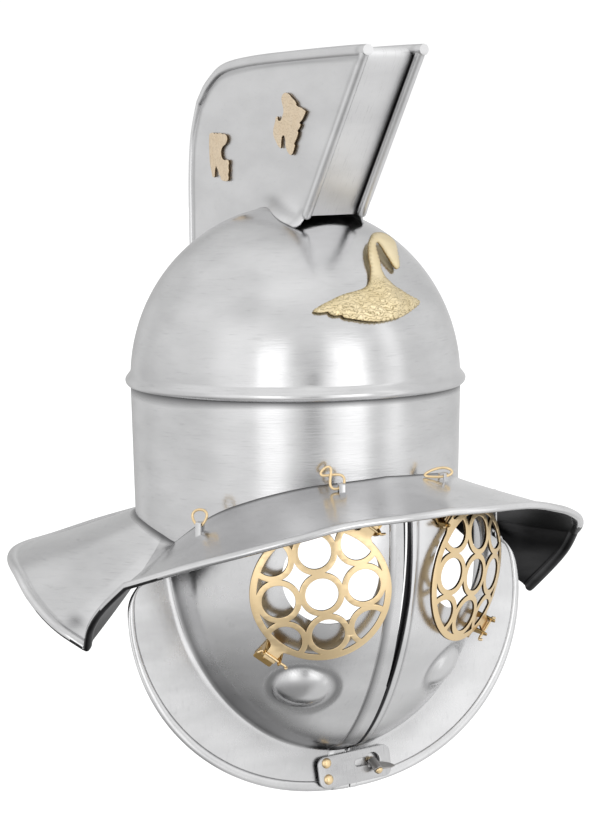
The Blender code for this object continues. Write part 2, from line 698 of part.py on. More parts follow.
def grille_holes():
    """Outlines of the openings: rings, clipped corner rings, and the gaps between them."""
    pitch = RING_PITCH
    cusp = math.degrees(math.acos(0.5 * pitch / RING_OUTER))
    holes = [arc((0.0, 0.0), RING_HOLE, 0, 360, 14)]
    for quarter in (0, 90, 180, 270):
        holes.append(turn_points(arc((pitch, 0.0), RING_HOLE, 0, 360, 14), quarter))
        start, end = ring_meets_rim((pitch, pitch), RING_HOLE)
        corner = arc((pitch, pitch), RING_HOLE, start, end, 8)
        tip = corner[0], arc((pitch, pitch), RING_HOLE, end, end + 1, 1)[0]
        a = math.degrees(math.atan2(tip[1][1], tip[1][0]))
        b = math.degrees(math.atan2(tip[0][1], tip[0][0]))
        holes.append(turn_points(corner + arc((0, 0), RIM_INNER, a, b, 3), quarter))
        diamond = []
        for k, centre in enumerate(((0, 0), (pitch, 0), (pitch, pitch), (0, pitch))):
            diamond += arc(centre, RING_OUTER, 90 - cusp + 90 * k, cusp + 90 * k, 4)
        holes.append(turn_points(diamond, quarter))
        wedge = rim_wedge(cusp)
        holes.append(turn_points(wedge, quarter))
        holes.append(turn_points([(u, -v) for u, v in wedge], quarter))
    return holes


def rim_wedge(cusp):
    """The gap between a side ring, the corner ring above it and the rim."""
    pitch = RING_PITCH
    side_end = ring_meets_rim((pitch, 0.0), RING_OUTER)[0]
    corner_end = ring_meets_rim((pitch, pitch), RING_OUTER)[1] - 360.0
    wedge = arc((pitch, 0.0), RING_OUTER, 90.0 - cusp, side_end, 3)
    a = arc((pitch, 0.0), RING_OUTER, side_end, side_end + 1, 1)[0]
    b = arc((pitch, pitch), RING_OUTER, corner_end, corner_end + 1, 1)[0]
    a_deg, b_deg = (math.degrees(math.atan2(p[1], p[0])) for p in (a, b))
    wedge += arc((0, 0), RIM_INNER, a_deg, b_deg, 2)
    return wedge + arc((pitch, pitch), RING_OUTER, corner_end, cusp - 90.0, 3)


def add_grilles():
    half = math.degrees(math.asin(0.5 * TAB_WIDTH / GRILLE_RADIUS))
    outline = []
    for side in (0, 180):
        outline += arc((0, 0), GRILLE_RADIUS, side + half, side + 180 - half, 18)
        reach = GRILLE_RADIUS + TAB_REACH
        end = turn_points([(-GRILLE_RADIUS * math.cos(math.radians(half)), 0.5 * TAB_WIDTH),
                           (-reach, 0.5 * TAB_WIDTH), (-reach, -0.5 * TAB_WIDTH)], side)
        outline += end
    outline = turn_points(outline, TAB_ANGLE)
    holes = [turn_points(hole, PATTERN_TURN) for hole in grille_holes()]
    roots = [(GRILLE_RADIUS, TAB_ANGLE), (GRILLE_RADIUS, TAB_ANGLE + 180)]
    points, faces = plate([outline] + holes, GRILLE_SHEET, grille_place, cuts=roots)
    add_pair("grille", points, faces, "brass")


def foot_on_visor(point):
    """The place (x, z) on the face guard straight under a point."""
    x, z = point.x, point.z
    for _ in range(30):
        away = point - visor_point(x, z)
        normal = visor_normal(x, z)
        slip = away - normal * away.dot(normal)
        x += 0.6 * slip.x
        z += 0.6 * slip.z
    return x, z


def bracket_frame(angle):
    """Frame of a bracket: u along the grille's tab, v along the pin, w off the face guard."""
    across, up, normal = grille_axes()
    angle = math.radians(angle)
    reach = math.cos(angle) * across + math.sin(angle) * up
    lift = GRILLE_SHEET + WIRE + GAP
    pin = Vector(GRILLE_CENTRE) + PIN_REACH * reach + lift * normal
    x, z = foot_on_visor(pin)
    away = pin - visor_point(x, z)
    v_axis = normal.cross(reach)
    w_axis = (away - v_axis * away.dot(v_axis)).normalized()
    height = away.dot(w_axis)
    return frame_at(pin - height * w_axis, v_axis.cross(w_axis), v_axis, w_axis), height


def add_brackets_and_pins():
    for word, angle in (("lower", TAB_ANGLE), ("upper", TAB_ANGLE + 180.0)):
        place, height = bracket_frame(angle)
        sheet = BRACKET["sheet"]
        half = 0.5 * BRACKET["width"]
        top = height + BRACKET["past_pin"]
        low = GAP + 0.6
        outline = [(-half, low), (half, low), (half, top), (half - sheet, top), (half - sheet, low + sheet),
                   (sheet - half, low + sheet), (sheet - half, top), (-half, top)]
        ear = 0.5 * BRACKET["ear"]
        points, faces = plate([outline], BRACKET["length"], lambda v, w, u: place(u - ear, v, w))
        trim_ears(points, place, low + sheet, ear)
        pair = add_pair(f"bracket_{word}", points, faces, "brass")
        hole, hole_faces = tube([place(0, v, height) for v in (-2 * half, 2 * half)], WIRE + GAP, 8)
        for bracket, side_hole in zip(pair, (hole, mirror_points(hole))):
            cut(bracket, "pin_hole", side_hole, hole_faces)
        eye = half + 2.6
        path = [(0, -eye - 1.8, 1.6), (0, -eye - 2.4, 0.2), (0, -eye, -0.2), (0, -half, 0), (0, half, 0),
                (0.6, half + 1.6, 0.3), (1.6, half + 2.6, 1.2)]
        wire = [place(u, v, w + height) for u, v, w in path]
        points, faces = tube(wire, WIRE, 6)
        add_pair(f"split_pin_{word}", points, faces, "brass")


def trim_ears(points, place, floor, ear):
    """Pull the ears back so that the base alone runs on past them."""
    origin = place(0, 0, 0)
    u_axis = place(1, 0, 0) - origin
    w_axis = place(0, 0, 1) - origin
    for i, point in enumerate(points):
        away = Vector(point) - origin
        if away.dot(w_axis) > floor + 0.1 and away.dot(u_axis) > ear:
            points[i] = Vector(point) - u_axis * (away.dot(u_axis) - ear)


def crest_x(y, z):
    """Half-width of the crest at (y, z), to the middle of a side plate."""
    (y_low, z_low), (y_top, z_top) = CREST_FRONT_LOW, CREST_FRONT_TOP
    front = lerp(y_low, y_top, (z - z_low) / (z_top - z_low))
    t = (CREST_BACK_Y - y) / (CREST_BACK_Y - front)
    return max(lerp(CREST_BACK_X, CREST_FRONT_X, t), CREST_BACK_X)


def crest_foot(y):
    """How far the foot of a side plate spreads outwards at its edge."""
    spread = CREST_FOOT["front_spread"] if y < CREST_FOOT["y"] else CREST_FOOT["rear_spread"]
    return CREST_FOOT["flare"] * math.exp(-((y - CREST_FOOT["y"]) / spread) ** 2)


def crest_flare(y, z):
    """The same at a height, fading out up the plate."""
    rise = max(z - dome_height(CREST_FRONT_X, y), 0.0) / CREST_FOOT["rise"]
    return crest_foot(y) * max(1.0 - rise, 0.0) ** 2


def crest_outline():
    """Points (y, z, beaded) round a side plate, along the dome and back over the top."""
    floor = []
    for k in range(CREST_FLOOR_STEPS + 1):
        y = lerp(*CREST_FLOOR, k / CREST_FLOOR_STEPS)
        x = crest_x(y, CREST_FRONT_LOW[1]) + crest_foot(y)
        floor.append((y, dome_height(x - 2.0, y) + GAP, False))
    back = [(y, z, i > 1) for i, (y, z) in enumerate(CREST_OUTLINE_BACK)]
    front = []
    for t in (0.97, 0.66, 0.33, 0.0):
        y = lerp(CREST_FRONT_LOW[0], CREST_FRONT_TOP[0], t) - 3.0
        front.append((y, lerp(CREST_FRONT_LOW[1], CREST_FRONT_TOP[1], t), True))
    return floor + back + front


def inset(outline, distance):
    """The outline moved inwards by a distance, corners mitred."""
    out = []
    count = len(outline)
    for i in range(count):
        here = np.array(outline[i][:2])
        before = here - np.array(outline[i - 1][:2])
        after = np.array(outline[(i + 1) % count][:2]) - here
        before /= np.linalg.norm(before)
        after /= np.linalg.norm(after)
        normal = np.array((-before[1] - after[1], before[0] + after[0]))
        normal /= np.linalg.norm(normal)
        grow = min(1.0 / max(float(normal @ (-before[1], before[0])), 0.35), 2.2)
        out.append(tuple(here + normal * distance * grow))
    return out


def add_crest_plates():
    outline = crest_outline()
    half = 0.5 * SHEET
    rings = ((0.0, 0.45), (2.8, 1.0), (HEM_WIDTH, None), (16.0, None))
    outer, inner = [], []
    for distance, swell in rings:
        for (y, z), (_, _, beaded) in zip(inset(outline, distance), outline):
            middle = crest_x(y, z) + crest_flare(y, z)
            bead = min(CREST_BEAD, crest_x(y, z) - GAP)
            thick = bead * swell if swell and beaded else half
            outer.append((middle + thick, y, z))
            inner.append((middle - thick, y, z))
    count = len(outline)
    faces = grid_faces(len(rings), count, closed=True)
    start = (len(rings) - 1) * count
    core = [Vector((y, z, 0.0)) for _, y, z in outer[start:]]
    faces += [tuple(start + i for i in triangle) for triangle in tessellate_polygon([core])]
    size = len(outer)
    faces += [tuple(i + size for i in face) for face in faces]
    faces += [(j, (j + 1) % count, (j + 1) % count + size, j + size) for j in range(count)]
    add_pair("crest_plate", outer + inner, faces, "steel")


def add_crest_strip():
    """The recessed sheet between the side plates, up the front and back along the top."""
    (y_low, z_low), (y_top, z_top) = CREST_FRONT_LOW, CREST_FRONT_TOP
    length = math.hypot(y_top - y_low, z_top - z_low)
    back = (z_top - z_low) / length * STRIP_RECESS
    path = []
    for t in (-0.005, 0.25, 0.5, 0.75, 0.96):
        path.append((lerp(y_low, y_top, t) + back, lerp(z_low, z_top, t)))
    for y in (-60.0, -20.0, 20.0, 60.0, 74.0):
        path.append((y, 205.0 - 3.0 * (y + 100.0) / 130.0))
    points = []
    for i, (y, z) in enumerate(path):
        near = path[max(i - 1, 0)]
        far = path[min(i + 1, len(path) - 1)]
        along = np.array(far) - np.array(near)
        along /= np.linalg.norm(along)
        down = (along[1] * SHEET, -along[0] * SHEET)
        wide = crest_x(y, z) - CREST_BEAD - 2 * GAP
        for dy, dz in ((0.0, 0.0), down):
            points += [(-wide, y + dy, z + dz), (wide, y + dy, z + dz)]
    order = [(4 * i, 4 * i + 1, 4 * i + 3, 4 * i + 2) for i in range(len(path))]
    faces = [order[0], order[-1]]
    for a, b in zip(order, order[1:]):
        faces += [(a[j], a[(j + 1) % 4], b[(j + 1) % 4], b[j]) for j in range(4)]
    add_solid("crest_strip", points, faces, "steel")


def add_cutouts():
    for name, outline in (("winged_cutout", WINGED_CUTOUT), ("legged_cutout", LEGGED_CUTOUT)):
        stand = 0.5 * SHEET + 2 * GAP
        points, faces = plate([outline], CUTOUT_SHEET,
                              lambda y, z, w: Vector((crest_x(y, z) + stand + w, y, z)))
        add_pair(name, points, faces, "brass")


def swan_place(arc_length, z, w):
    lift = SWAN_LIFT * max((z - SWAN_LIFT_FROM) / (DOME_HEIGHT - SWAN_LIFT_FROM - 15.0), 0.0) ** 2
    radius = dome_radius(z) + 1.2 + lift
    return polar(radius + w, -math.degrees(arc_length / dome_radius(z)), z)


def add_swan():
    columns = [(SWAN_CUT_STEP * k, 0.0) for k in range(-4, 5)]
    points, faces = plate([SWAN_OUTLINE], SWAN_THICK, swan_place, cuts=columns)
    add_solid("swan", points, faces, "brass")


def flange_frame(x, z, stand):
    """Frame on the flange: u to the wearer's left, v up the plane, w out of it."""
    up = Vector((0.0, FLANGE_SLOPE, 1.0)).normalized()
    across = Vector((1.0, 0.0, 0.0))
    normal = across.cross(up)
    return frame_at(Vector((x, flange_y(z), z)) + normal * stand, across, up, normal)


def add_hasp():
    half_u, half_v, corner = 0.5 * HASP["width"], 0.5 * HASP["height"], HASP["corner"]
    outline = []
    for k, (su, sv) in enumerate(((1, 1), (-1, 1), (-1, -1), (1, -1))):
        centre = (su * (half_u - corner), sv * (half_v - corner))
        outline += arc(centre, corner, 90 * k, 90 * k + 112.5, 5)
    hole_u, hole_v = KEY_AT[0] - HASP["x"], KEY_AT[1] - HASP["z"]
    start = 180.0 - math.degrees(math.asin(KEYHOLE["slot"] / KEYHOLE["radius"]))
    end = (KEYHOLE["left_x"] - HASP["x"] + KEYHOLE["slot"], hole_v)
    hole = arc((hole_u, hole_v), KEYHOLE["radius"], -start, start, 11)
    hole += arc(end, KEYHOLE["slot"], 90, 270, 5) + [(end[0], hole_v - KEYHOLE["slot"])]
    outline = turn_points(outline, HASP["turn"])
    place = flange_frame(HASP["x"], HASP["z"], HASP["stand"])
    points, faces = plate([outline, hole], SHEET, place)
    add_solid("hasp", points, faces, "steel")


def add_hasp_rivets():
    for word, (x, z) in zip(("upper", "lower"), HASP_RIVETS):
        place = flange_frame(x, z, HASP["stand"] + SHEET + GAP)
        profile = ((RIVET_RADIUS, 0.0), (0.9 * RIVET_RADIUS, 0.5 * RIVET_HEIGHT),
                   (0.4 * RIVET_RADIUS, RIVET_HEIGHT))
        points, faces = turned(profile, place, 12)
        add_solid(f"hasp_rivet_{word}", points, faces, "brass")


def key_frame():
    """Frame of the clasp's pin: u to the wearer's left, v up, w along the pin from the hasp outwards."""
    droop = math.radians(KEY_DROOP)
    axis = Vector((0.0, -math.cos(droop), -math.sin(droop)))
    across = Vector((1.0, 0.0, 0.0))
    base = flange_frame(*KEY_AT, HASP["stand"] + 0.5 * SHEET)(0, 0, 0)
    return base, frame_at(base, across, axis.cross(across), axis)


def add_clasp():
    base, place = key_frame()
    end = KEY_START + KEY_LENGTH
    pin = ((CLASP_PIN["shank"], CLASP_PIN["start"]), (CLASP_PIN["shank"], end + GAP),
           (CLASP_PIN["head"], end + GAP), (0.9 * CLASP_PIN["head"], end + 1.3), (0.9, end + 2.0))
    points, faces = turned(pin, place, 10)
    add_solid("clasp_pin", points, faces, "brass")
    wing = KEY_WING["thick"]
    barrel = arc((0, 0), KEY_OUTER, 60, 360, 10)
    tip = [(KEY_OUTER, -wing), (KEY_WING["reach"], -0.5 * wing), (KEY_WING["reach"], 0.5 * wing),
           (0.95 * KEY_OUTER, 0.3)]
    bore = arc((0, 0), KEY_BORE, 0, 360, 12)
    outline = barrel[:-1] + tip
    points, faces = plate([outline, bore], KEY_LENGTH, lambda u, v, w: place(u, v, KEY_START + w),
                          cuts=[(KEY_OUTER, 0.0)])
    axis = place(0, 0, 1) - base
    for i, point in enumerate(points):
        if point.x - base.x > KEY_OUTER - 0.2 and (point - base).dot(axis) < KEY_WING["from"]:
            points[i] = point + axis * KEY_WING["from"]
    pivot = place(0, 0, KEY_START)
    add_solid("turn_key", points, faces, "steel", origin=pivot)


def build():
    for obj in list(bpy.data.objects):
        bpy.data.objects.remove(obj)
    root = bpy.data.objects.new("helmet", None)
    bpy.context.collection.objects.link(root)
    root.location = (0.0, 0.0, -(DOME_HEIGHT - SHEET) * MM)
    stations = brim_stations()
    add_bowl(stations)
    brim = add_brim(stations)
    shape = bmesh.new()
    shape.from_mesh(brim.data)
    tree = BVHTree.FromBMesh(shape)
    shape.free()
    add_visor("visor_right", -1, tree, RIGHT_STRIP)
    add_visor("visor_left", 1, tree, LEFT_STRIP)
    add_staples_and_rings()
    add_grilles()
    add_brackets_and_pins()
    add_crest_plates()
    add_crest_strip()
    add_cutouts()
    add_swan()
    add_hasp()
    add_hasp_rivets()
    add_clasp()


build()
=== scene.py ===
# Looks of the gladiator helmet: satin steel, pale brass, a white studio.
# Shapes are worked out in millimetres from the bead ring round the bowl, as on the bench,
# and go to metres when a vertex is placed. The face looks along -Y, +X is the wearer's left.

import math

import bpy
import numpy as np
from mathutils import Matrix, Vector
from mathutils.bvhtree import BVHTree


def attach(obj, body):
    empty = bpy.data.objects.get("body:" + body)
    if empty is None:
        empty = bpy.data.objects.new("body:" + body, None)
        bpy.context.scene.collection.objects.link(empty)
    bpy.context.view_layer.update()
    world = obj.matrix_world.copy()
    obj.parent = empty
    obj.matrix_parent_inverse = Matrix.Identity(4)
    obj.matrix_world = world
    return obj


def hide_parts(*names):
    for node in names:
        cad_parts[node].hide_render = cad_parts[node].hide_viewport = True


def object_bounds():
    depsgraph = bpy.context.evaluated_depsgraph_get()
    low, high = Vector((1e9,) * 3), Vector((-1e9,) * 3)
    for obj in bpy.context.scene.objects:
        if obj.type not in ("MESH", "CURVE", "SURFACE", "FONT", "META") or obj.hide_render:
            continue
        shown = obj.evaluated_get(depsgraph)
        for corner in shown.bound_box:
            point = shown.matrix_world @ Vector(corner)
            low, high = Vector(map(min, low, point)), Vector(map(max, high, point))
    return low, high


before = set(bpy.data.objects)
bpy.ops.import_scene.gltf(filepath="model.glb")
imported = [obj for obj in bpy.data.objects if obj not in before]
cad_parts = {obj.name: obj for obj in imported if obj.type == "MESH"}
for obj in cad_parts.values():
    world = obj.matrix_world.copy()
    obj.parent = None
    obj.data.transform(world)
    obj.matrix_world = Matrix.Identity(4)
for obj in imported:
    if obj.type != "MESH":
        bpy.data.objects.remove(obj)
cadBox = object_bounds()
bpy.context.scene.view_settings.view_transform = "Standard"  # whites stay white, as in the studio shot

mm = 0.001
crownDrop = 110.5  # from the bead ring up to the inside of the crown, where the world's origin is
sheetThick = 1.5
edgeOn = 0.45  # a face turned less than this towards a plate's front is one of its cut edges
halves = ((1, "Left"), (-1, "Right"))


def toWorld(point):
    return Vector((point[0], point[1], point[2] - crownDrop)) * mm


def toBench(point):
    return point / mm + Vector((0, 0, crownDrop))


def mix(a, b, share):
    return a + (b - a) * share


def clamp(value):
    return min(max(value, 0.0), 1.0)


def peak(away, wide):  # 1 where away is 0, fading out on both sides
    return math.exp(-(away / wide) ** 2)


def darkBand(settings, value):  # a darkening band, used for painted shade and for the swan's outline; settings hold the amount, the value where it is strongest and how wide it is
    amount, middle, wide = settings
    return amount * peak(value - middle, wide)


def cosine(degrees):
    return math.cos(math.radians(degrees))


def sine(degrees):
    return math.sin(math.radians(degrees))


def polar(radius, degrees, z):
    return Vector((radius * sine(degrees), -radius * cosine(degrees), z))


def clearSelection():
    bpy.ops.object.select_all(action="DESELECT")


def makeActive(piece):
    clearSelection()
    piece.select_set(True)
    bpy.context.view_layer.objects.active = piece


def editMesh(piece, *steps):  # runs edit-mode steps on the whole mesh
    makeActive(piece)
    bpy.ops.object.mode_set(mode="EDIT")
    bpy.ops.mesh.select_all(action="SELECT")
    for step in steps:
        step()
    bpy.ops.object.mode_set(mode="OBJECT")


def closeSeams(piece, gap=0.01):
    editMesh(piece, lambda: bpy.ops.mesh.remove_doubles(threshold=gap * mm),
             lambda: bpy.ops.mesh.dissolve_degenerate(threshold=0.2 * gap * mm))


def faceOutwards(piece):
    editMesh(piece, lambda: bpy.ops.mesh.normals_make_consistent(inside=False))


def applyModifier(piece, kind, **settings):
    makeActive(piece)
    modifier = piece.modifiers.new(kind.lower(), kind)
    for key, value in settings.items():
        setattr(modifier, key, value)
    bpy.ops.object.modifier_apply(modifier=modifier.name)


def thicken(piece, offset=-1.0):  # gives a surface the sheet's thickness
    applyModifier(piece, "SOLIDIFY", thickness=sheetThick * mm, offset=offset)


# a grid primitive whose vertices are moved to place(i, j), in millimetres
def gridPiece(name, columns, rows, place, flip=False, close=True):
    clearSelection()
    bpy.ops.mesh.primitive_grid_add(x_subdivisions=columns, y_subdivisions=rows, size=2)
    piece = bpy.context.object
    piece.name = name
    for vertex in piece.data.vertices:
        i = round((vertex.co.x + 1) / 2 * columns)
        j = round((vertex.co.y + 1) / 2 * rows)
        vertex.co = toWorld(place(i, j))
    if flip:
        editMesh(piece, bpy.ops.mesh.flip_normals)
    if close:
        closeSeams(piece)
    return piece


def crossCut(piece, step):  # cuts a flat piece across every step, both ways, so that it can bend
    cuts = []
    for axis, normal in ((0, (1, 0, 0)), (1, (0, 1, 0))):
        spots = [vertex.co[axis] for vertex in piece.data.vertices]
        count = int((max(spots) - min(spots)) / step)
        for k in range(1, count + 1):
            spot = mix(min(spots), max(spots), k / (count + 1))
            at = tuple(spot * n for n in normal)
            cuts += [lambda: bpy.ops.mesh.select_all(action="SELECT"),
                     lambda at=at, normal=normal: bpy.ops.mesh.bisect(plane_co=at, plane_no=normal)]
    editMesh(piece, *cuts)


def newObject(name, data):
    thing = bpy.data.objects.new(name, data)
    bpy.context.scene.collection.objects.link(thing)
    return thing


def curveMesh(name, splines, closed, **settings):  # splines hold (point, radius) pairs
    shape = bpy.data.curves.new(name, "CURVE")
    for key, value in settings.items():
        setattr(shape, key, value)
    for path in splines:
        spline = shape.splines.new("POLY")
        spline.points.add(len(path) - 1)
        spline.use_cyclic_u = closed
        for point, (spot, radius) in zip(spline.points, path):
            point.co, point.radius = (*spot, 1), radius
    makeActive(newObject(name, shape))
    bpy.ops.object.convert(target="MESH")
    return bpy.context.object


# a flat plate from closed outlines, its edges rounded, cut across every step and bent by place(u, v, w)
def platePiece(name, loops, thick, place, edge=0.25, step=None):
    splines = [[((u, v, 0), 1.0) for u, v in loop] for loop in loops]
    piece = curveMesh(name, splines, True, dimensions="2D", fill_mode="BOTH", bevel_depth=edge, offset=-edge,
                      bevel_resolution=2, extrude=0.5 * thick - edge)
    editMesh(piece, lambda: bpy.ops.mesh.remove_doubles(threshold=0.004))
    if step:
        crossCut(piece, step)
    for vertex in piece.data.vertices:
        u, v, w = vertex.co
        vertex.co = toWorld(place(u, v, w + 0.5 * thick))
    faceOutwards(piece)
    return piece


# a round wire along points; swell scales its radius at each point, or else an open wire gets rounded ends
def wirePiece(name, path, radius, closed=False, swell=None):
    if closed:
        swell = [1.0] * len(path)
    elif not swell:
        path, swell = roundedEnds(path, radius)
    spots = [(toWorld(spot), wide) for spot, wide in zip(path, swell)]
    piece = curveMesh(name, [spots], closed, dimensions="3D", bevel_depth=radius * mm, bevel_resolution=4,
                      resolution_u=6, use_fill_caps=True)
    closeSeams(piece, 0.004)
    faceOutwards(piece)
    return piece


def smoothLoop(points, steps, closed=True):  # a Catmull-Rom curve through points, closed or open
    rows = np.array(points, float)
    if closed:
        padded = np.vstack((rows[-1], rows, rows[0], rows[1]))
    else:
        padded = np.vstack((2 * rows[0] - rows[1], rows, 2 * rows[-1] - rows[-2]))
    curve = []
    for i in range(len(padded) - 3):
        a, b, c, d = padded[i:i + 4]
        for k in range(steps):
            t = k / steps
            curve.append(0.5 * (2 * b + (c - a) * t + (2 * a - 5 * b + 4 * c - d) * t ** 2
                                + (3 * b - a - 3 * c + d) * t ** 3))
    if not closed:
        curve.append(rows[-1])
    return curve


def roundedEnds(path, radius, steps=5):  # adds points and radii so that a wire ends in half balls
    path = [Vector(p) for p in path]
    first, last = (path[0] - path[1]).normalized(), (path[-1] - path[-2]).normalized()
    ease = [math.radians(90 * k / steps) for k in range(1, steps + 1)]
    head = [(path[0] + first * radius * math.sin(a), max(math.cos(a), 0.05)) for a in reversed(ease)]
    tail = [(path[-1] + last * radius * math.sin(a), max(math.cos(a), 0.05)) for a in ease]
    full = head + [(p, 1.0) for p in path] + tail
    return [p for p, _ in full], [s for _, s in full]


def turnedPiece(name, profile, place, sides=48):  # a profile of (radius, height) pairs turned about w
    def onRing(i, j):
        radius, height = profile[j]
        angle = 2 * math.pi * i / sides
        return place(radius * math.cos(angle), radius * math.sin(angle), height)
    piece = gridPiece(name, sides, len(profile) - 1, onRing)
    faceOutwards(piece)
    return piece


def frameAt(origin, across, up, out):
    origin, across, up, out = (Vector(v) for v in (origin, across, up, out))
    return lambda u, v, w: origin + u * across + v * up + w * out


def mirrored(place):  # the same place on the wearer's right
    def other(*where):
        point = place(*where)
        return Vector((-point[0], point[1], point[2]))
    return other


def joinPieces(name, pieces):
    makeActive(pieces[0])
    for piece in pieces:
        piece.select_set(True)
    bpy.ops.object.join()
    pieces[0].name = name
    return pieces[0]


def paintMask(piece, name, amount):  # stores amount(x, y, z) at each vertex, for a material to read
    layer = piece.data.attributes.new(name, "FLOAT", "POINT")
    layer.data.foreach_set("value", [clamp(amount(*toBench(vertex.co))) for vertex in piece.data.vertices])


def refinish(piece, material, chosen):  # a second finish on the faces that chosen(face) picks
    piece.data.materials.append(material)
    for face in piece.data.polygons:
        if chosen(face):
            face.material_index = 1


# smooths a piece, gives it its finish and its body, hides the CAD part that it stands for, and paints its masks
def settle(piece, node, slot, material, smooth=40, body="helmet", **masks):
    makeActive(piece)
    bpy.ops.object.shade_smooth_by_angle(angle=math.radians(smooth))
    piece.data.materials.clear()
    piece.data.materials.append(material)
    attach(piece, body)
    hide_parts(node)
    for name, amount in {"grime": lambda x, y, z: 0.0, **masks}.items():
        paintMask(piece, name, amount)


class Signal:  # a shader socket that can be written in sums

    def __init__(self, network, socket):
        self.network, self.socket = network, socket

    def math(self, operation, first, second):
        return self.network.add("ShaderNodeMath", {"operation": operation}, {0: first, 1: second})

    def __add__(self, other):
        return self.math("ADD", self, other)

    def __radd__(self, other):
        return self.math("ADD", other, self)

    def __sub__(self, other):
        return self.math("SUBTRACT", self, other)

    def __rsub__(self, other):
        return self.math("SUBTRACT", other, self)

    def __mul__(self, other):
        return self.math("MULTIPLY", self, other)

    def __rmul__(self, other):
        return self.math("MULTIPLY", other, self)


class Network:  # nodes of a material or of the sky, fed by signals

    def __init__(self, tree):
        self.tree = tree

    def feed(self, socket, value):
        if isinstance(value, Signal):
            self.tree.links.new(value.socket, socket)
        else:
            socket.default_value = value

    def add(self, kind, settings=None, sockets=None, output=0):
        node = self.tree.nodes.new(kind)
        for key, value in (settings or {}).items():
            setattr(node, key, value)
        for key, value in (sockets or {}).items():
            self.feed(node.inputs[key], value)
        return Signal(self, node.outputs[output])

    def ramp(self, value, start, end, low=0.0, high=1.0, kind="SMOOTHSTEP"):  # from low at start to high at end
        return self.add("ShaderNodeMapRange", {"interpolation_type": kind},
                        {0: value, 1: start, 2: end, 3: low, 4: high})

    def hill(self, value, middle, half, soft):  # 1 round the middle, falling to 0 past half, over twice soft
        away = value.math("ABSOLUTE", value - middle, 0.0)
        return self.ramp(away, half + soft, max(half - soft, 0.0))

    def place(self, scale):  # object coordinates stretched by a scale for each axis
        spot = self.add("ShaderNodeTexCoord", output="Object")
        return self.add("ShaderNodeMapping", sockets={"Vector": spot, "Scale": scale})

    def noise(self, scale, stretch=(1, 1, 1), detail=3.0, rough=0.5):
        return self.add("ShaderNodeTexNoise", sockets={
            "Vector": self.place(stretch), "Scale": scale, "Detail": detail, "Roughness": rough})

    def mask(self, name):
        return self.add("ShaderNodeAttribute", {"attribute_name": name}, output="Fac")

    def blend(self, share, first, second):  # mixes two colours
        return self.add("ShaderNodeMix", {"data_type": "RGBA"}, {0: share, 6: first, 7: second}, output=2)

    def bump(self, height, strength, distance, before=None):
        sockets = {"Height": height, "Strength": strength, "Distance": distance}
        if before:
            sockets["Normal"] = before
        return self.add("ShaderNodeBump", sockets=sockets)


class Finish(Network):  # a metal of its own, darkened where its mask says so: mostly painted shade, some grime

    def __init__(self, name, settings):
        self.material = bpy.data.materials.new(name)
        self.material.use_nodes = True
        super().__init__(self.material.node_tree)
        self.shader = self.tree.nodes["Principled BSDF"]
        self.shader.inputs["Metallic"].default_value = 1.0
        self.dark, self.light, self.shadeAndDirt = ((*settings[key], 1) for key in ("dark", "light", "grime"))

    def paint(self, clean, roughness, shadeAndDirtRough, normal):
        # the mask paints shade in creases, gaps and grooves, and a little grime; its colour also paints the
        # scuffs
        grime = self.mask("grime")
        self.feed(self.shader.inputs["Base Color"], self.blend(grime, clean, self.shadeAndDirt))
        self.feed(self.shader.inputs["Roughness"], roughness + grime * shadeAndDirtRough)
        self.feed(self.shader.inputs["Normal"], normal)
        return self.material


def steelFinish(name, settings):  # soft hammered waves, fine brush lines, scuffs and smudges
    finish = Finish(name, settings)
    waves = finish.noise(settings["waveScale"], settings["waveStretch"], detail=1.5)
    scuffs = finish.noise(settings["scuffScale"], settings["brushStretch"], detail=5.0, rough=0.75)
    scuffs = finish.ramp(scuffs, 0.56, 0.74, high=settings["scuffs"], kind="LINEAR")
    brush = finish.noise(settings["brushScale"], settings["brushStretch"], detail=4.0, rough=0.65)
    smudge = finish.noise(settings["smudgeScale"], settings["smudgeStretch"], detail=4.0)
    clean = finish.blend(finish.ramp(smudge, 0.25, 0.72), finish.dark, finish.light)
    clean = finish.blend(scuffs, clean, finish.shadeAndDirt)
    roughness = settings["roughness"] + (brush - 0.5) * settings["brushRough"]
    roughness = roughness + (smudge - 0.5) * settings["smudgeRough"]
    wavy = finish.bump(waves, settings["waveStrength"], settings["waveDepth"])
    brushed = finish.bump(brush, settings["brushStrength"], settings["brushDepth"], wavy)
    return finish.paint(clean, roughness, 0.15, brushed)


def grey(level, cool=0.005):
    return level, level, level + cool


# the darkest colour paints shade where a piece's mask says so, and the scuffs
steel = {
    "dark": grey(0.565), "light": grey(0.67), "grime": grey(0.045, 0.003), "roughness": 0.20,
    "waveScale": 12.0, "waveStretch": (1, 1, 0.55), "waveStrength": 0.6, "waveDepth": 0.005,
    "brushScale": 60.0, "brushStretch": (1, 1, 14), "brushStrength": 0.14, "brushDepth": 0.0004,
    "brushRough": 0.10, "smudgeScale": 18.0, "smudgeStretch": (1, 1, 2.5), "smudgeRough": 0.10,
    "scuffScale": 75.0, "scuffs": 0.18,
}
guardWork = {"brushStretch": (6, 2, 2), "brushStrength": 0.09, "roughness": 0.25, "waveStretch": (1, 1, 1),
             "waveStrength": 0.8, "scuffs": 0.10}


def steelKind(name, dark, light, **changes):
    return steelFinish(name, {**steel, "dark": dark, "light": light, **changes})


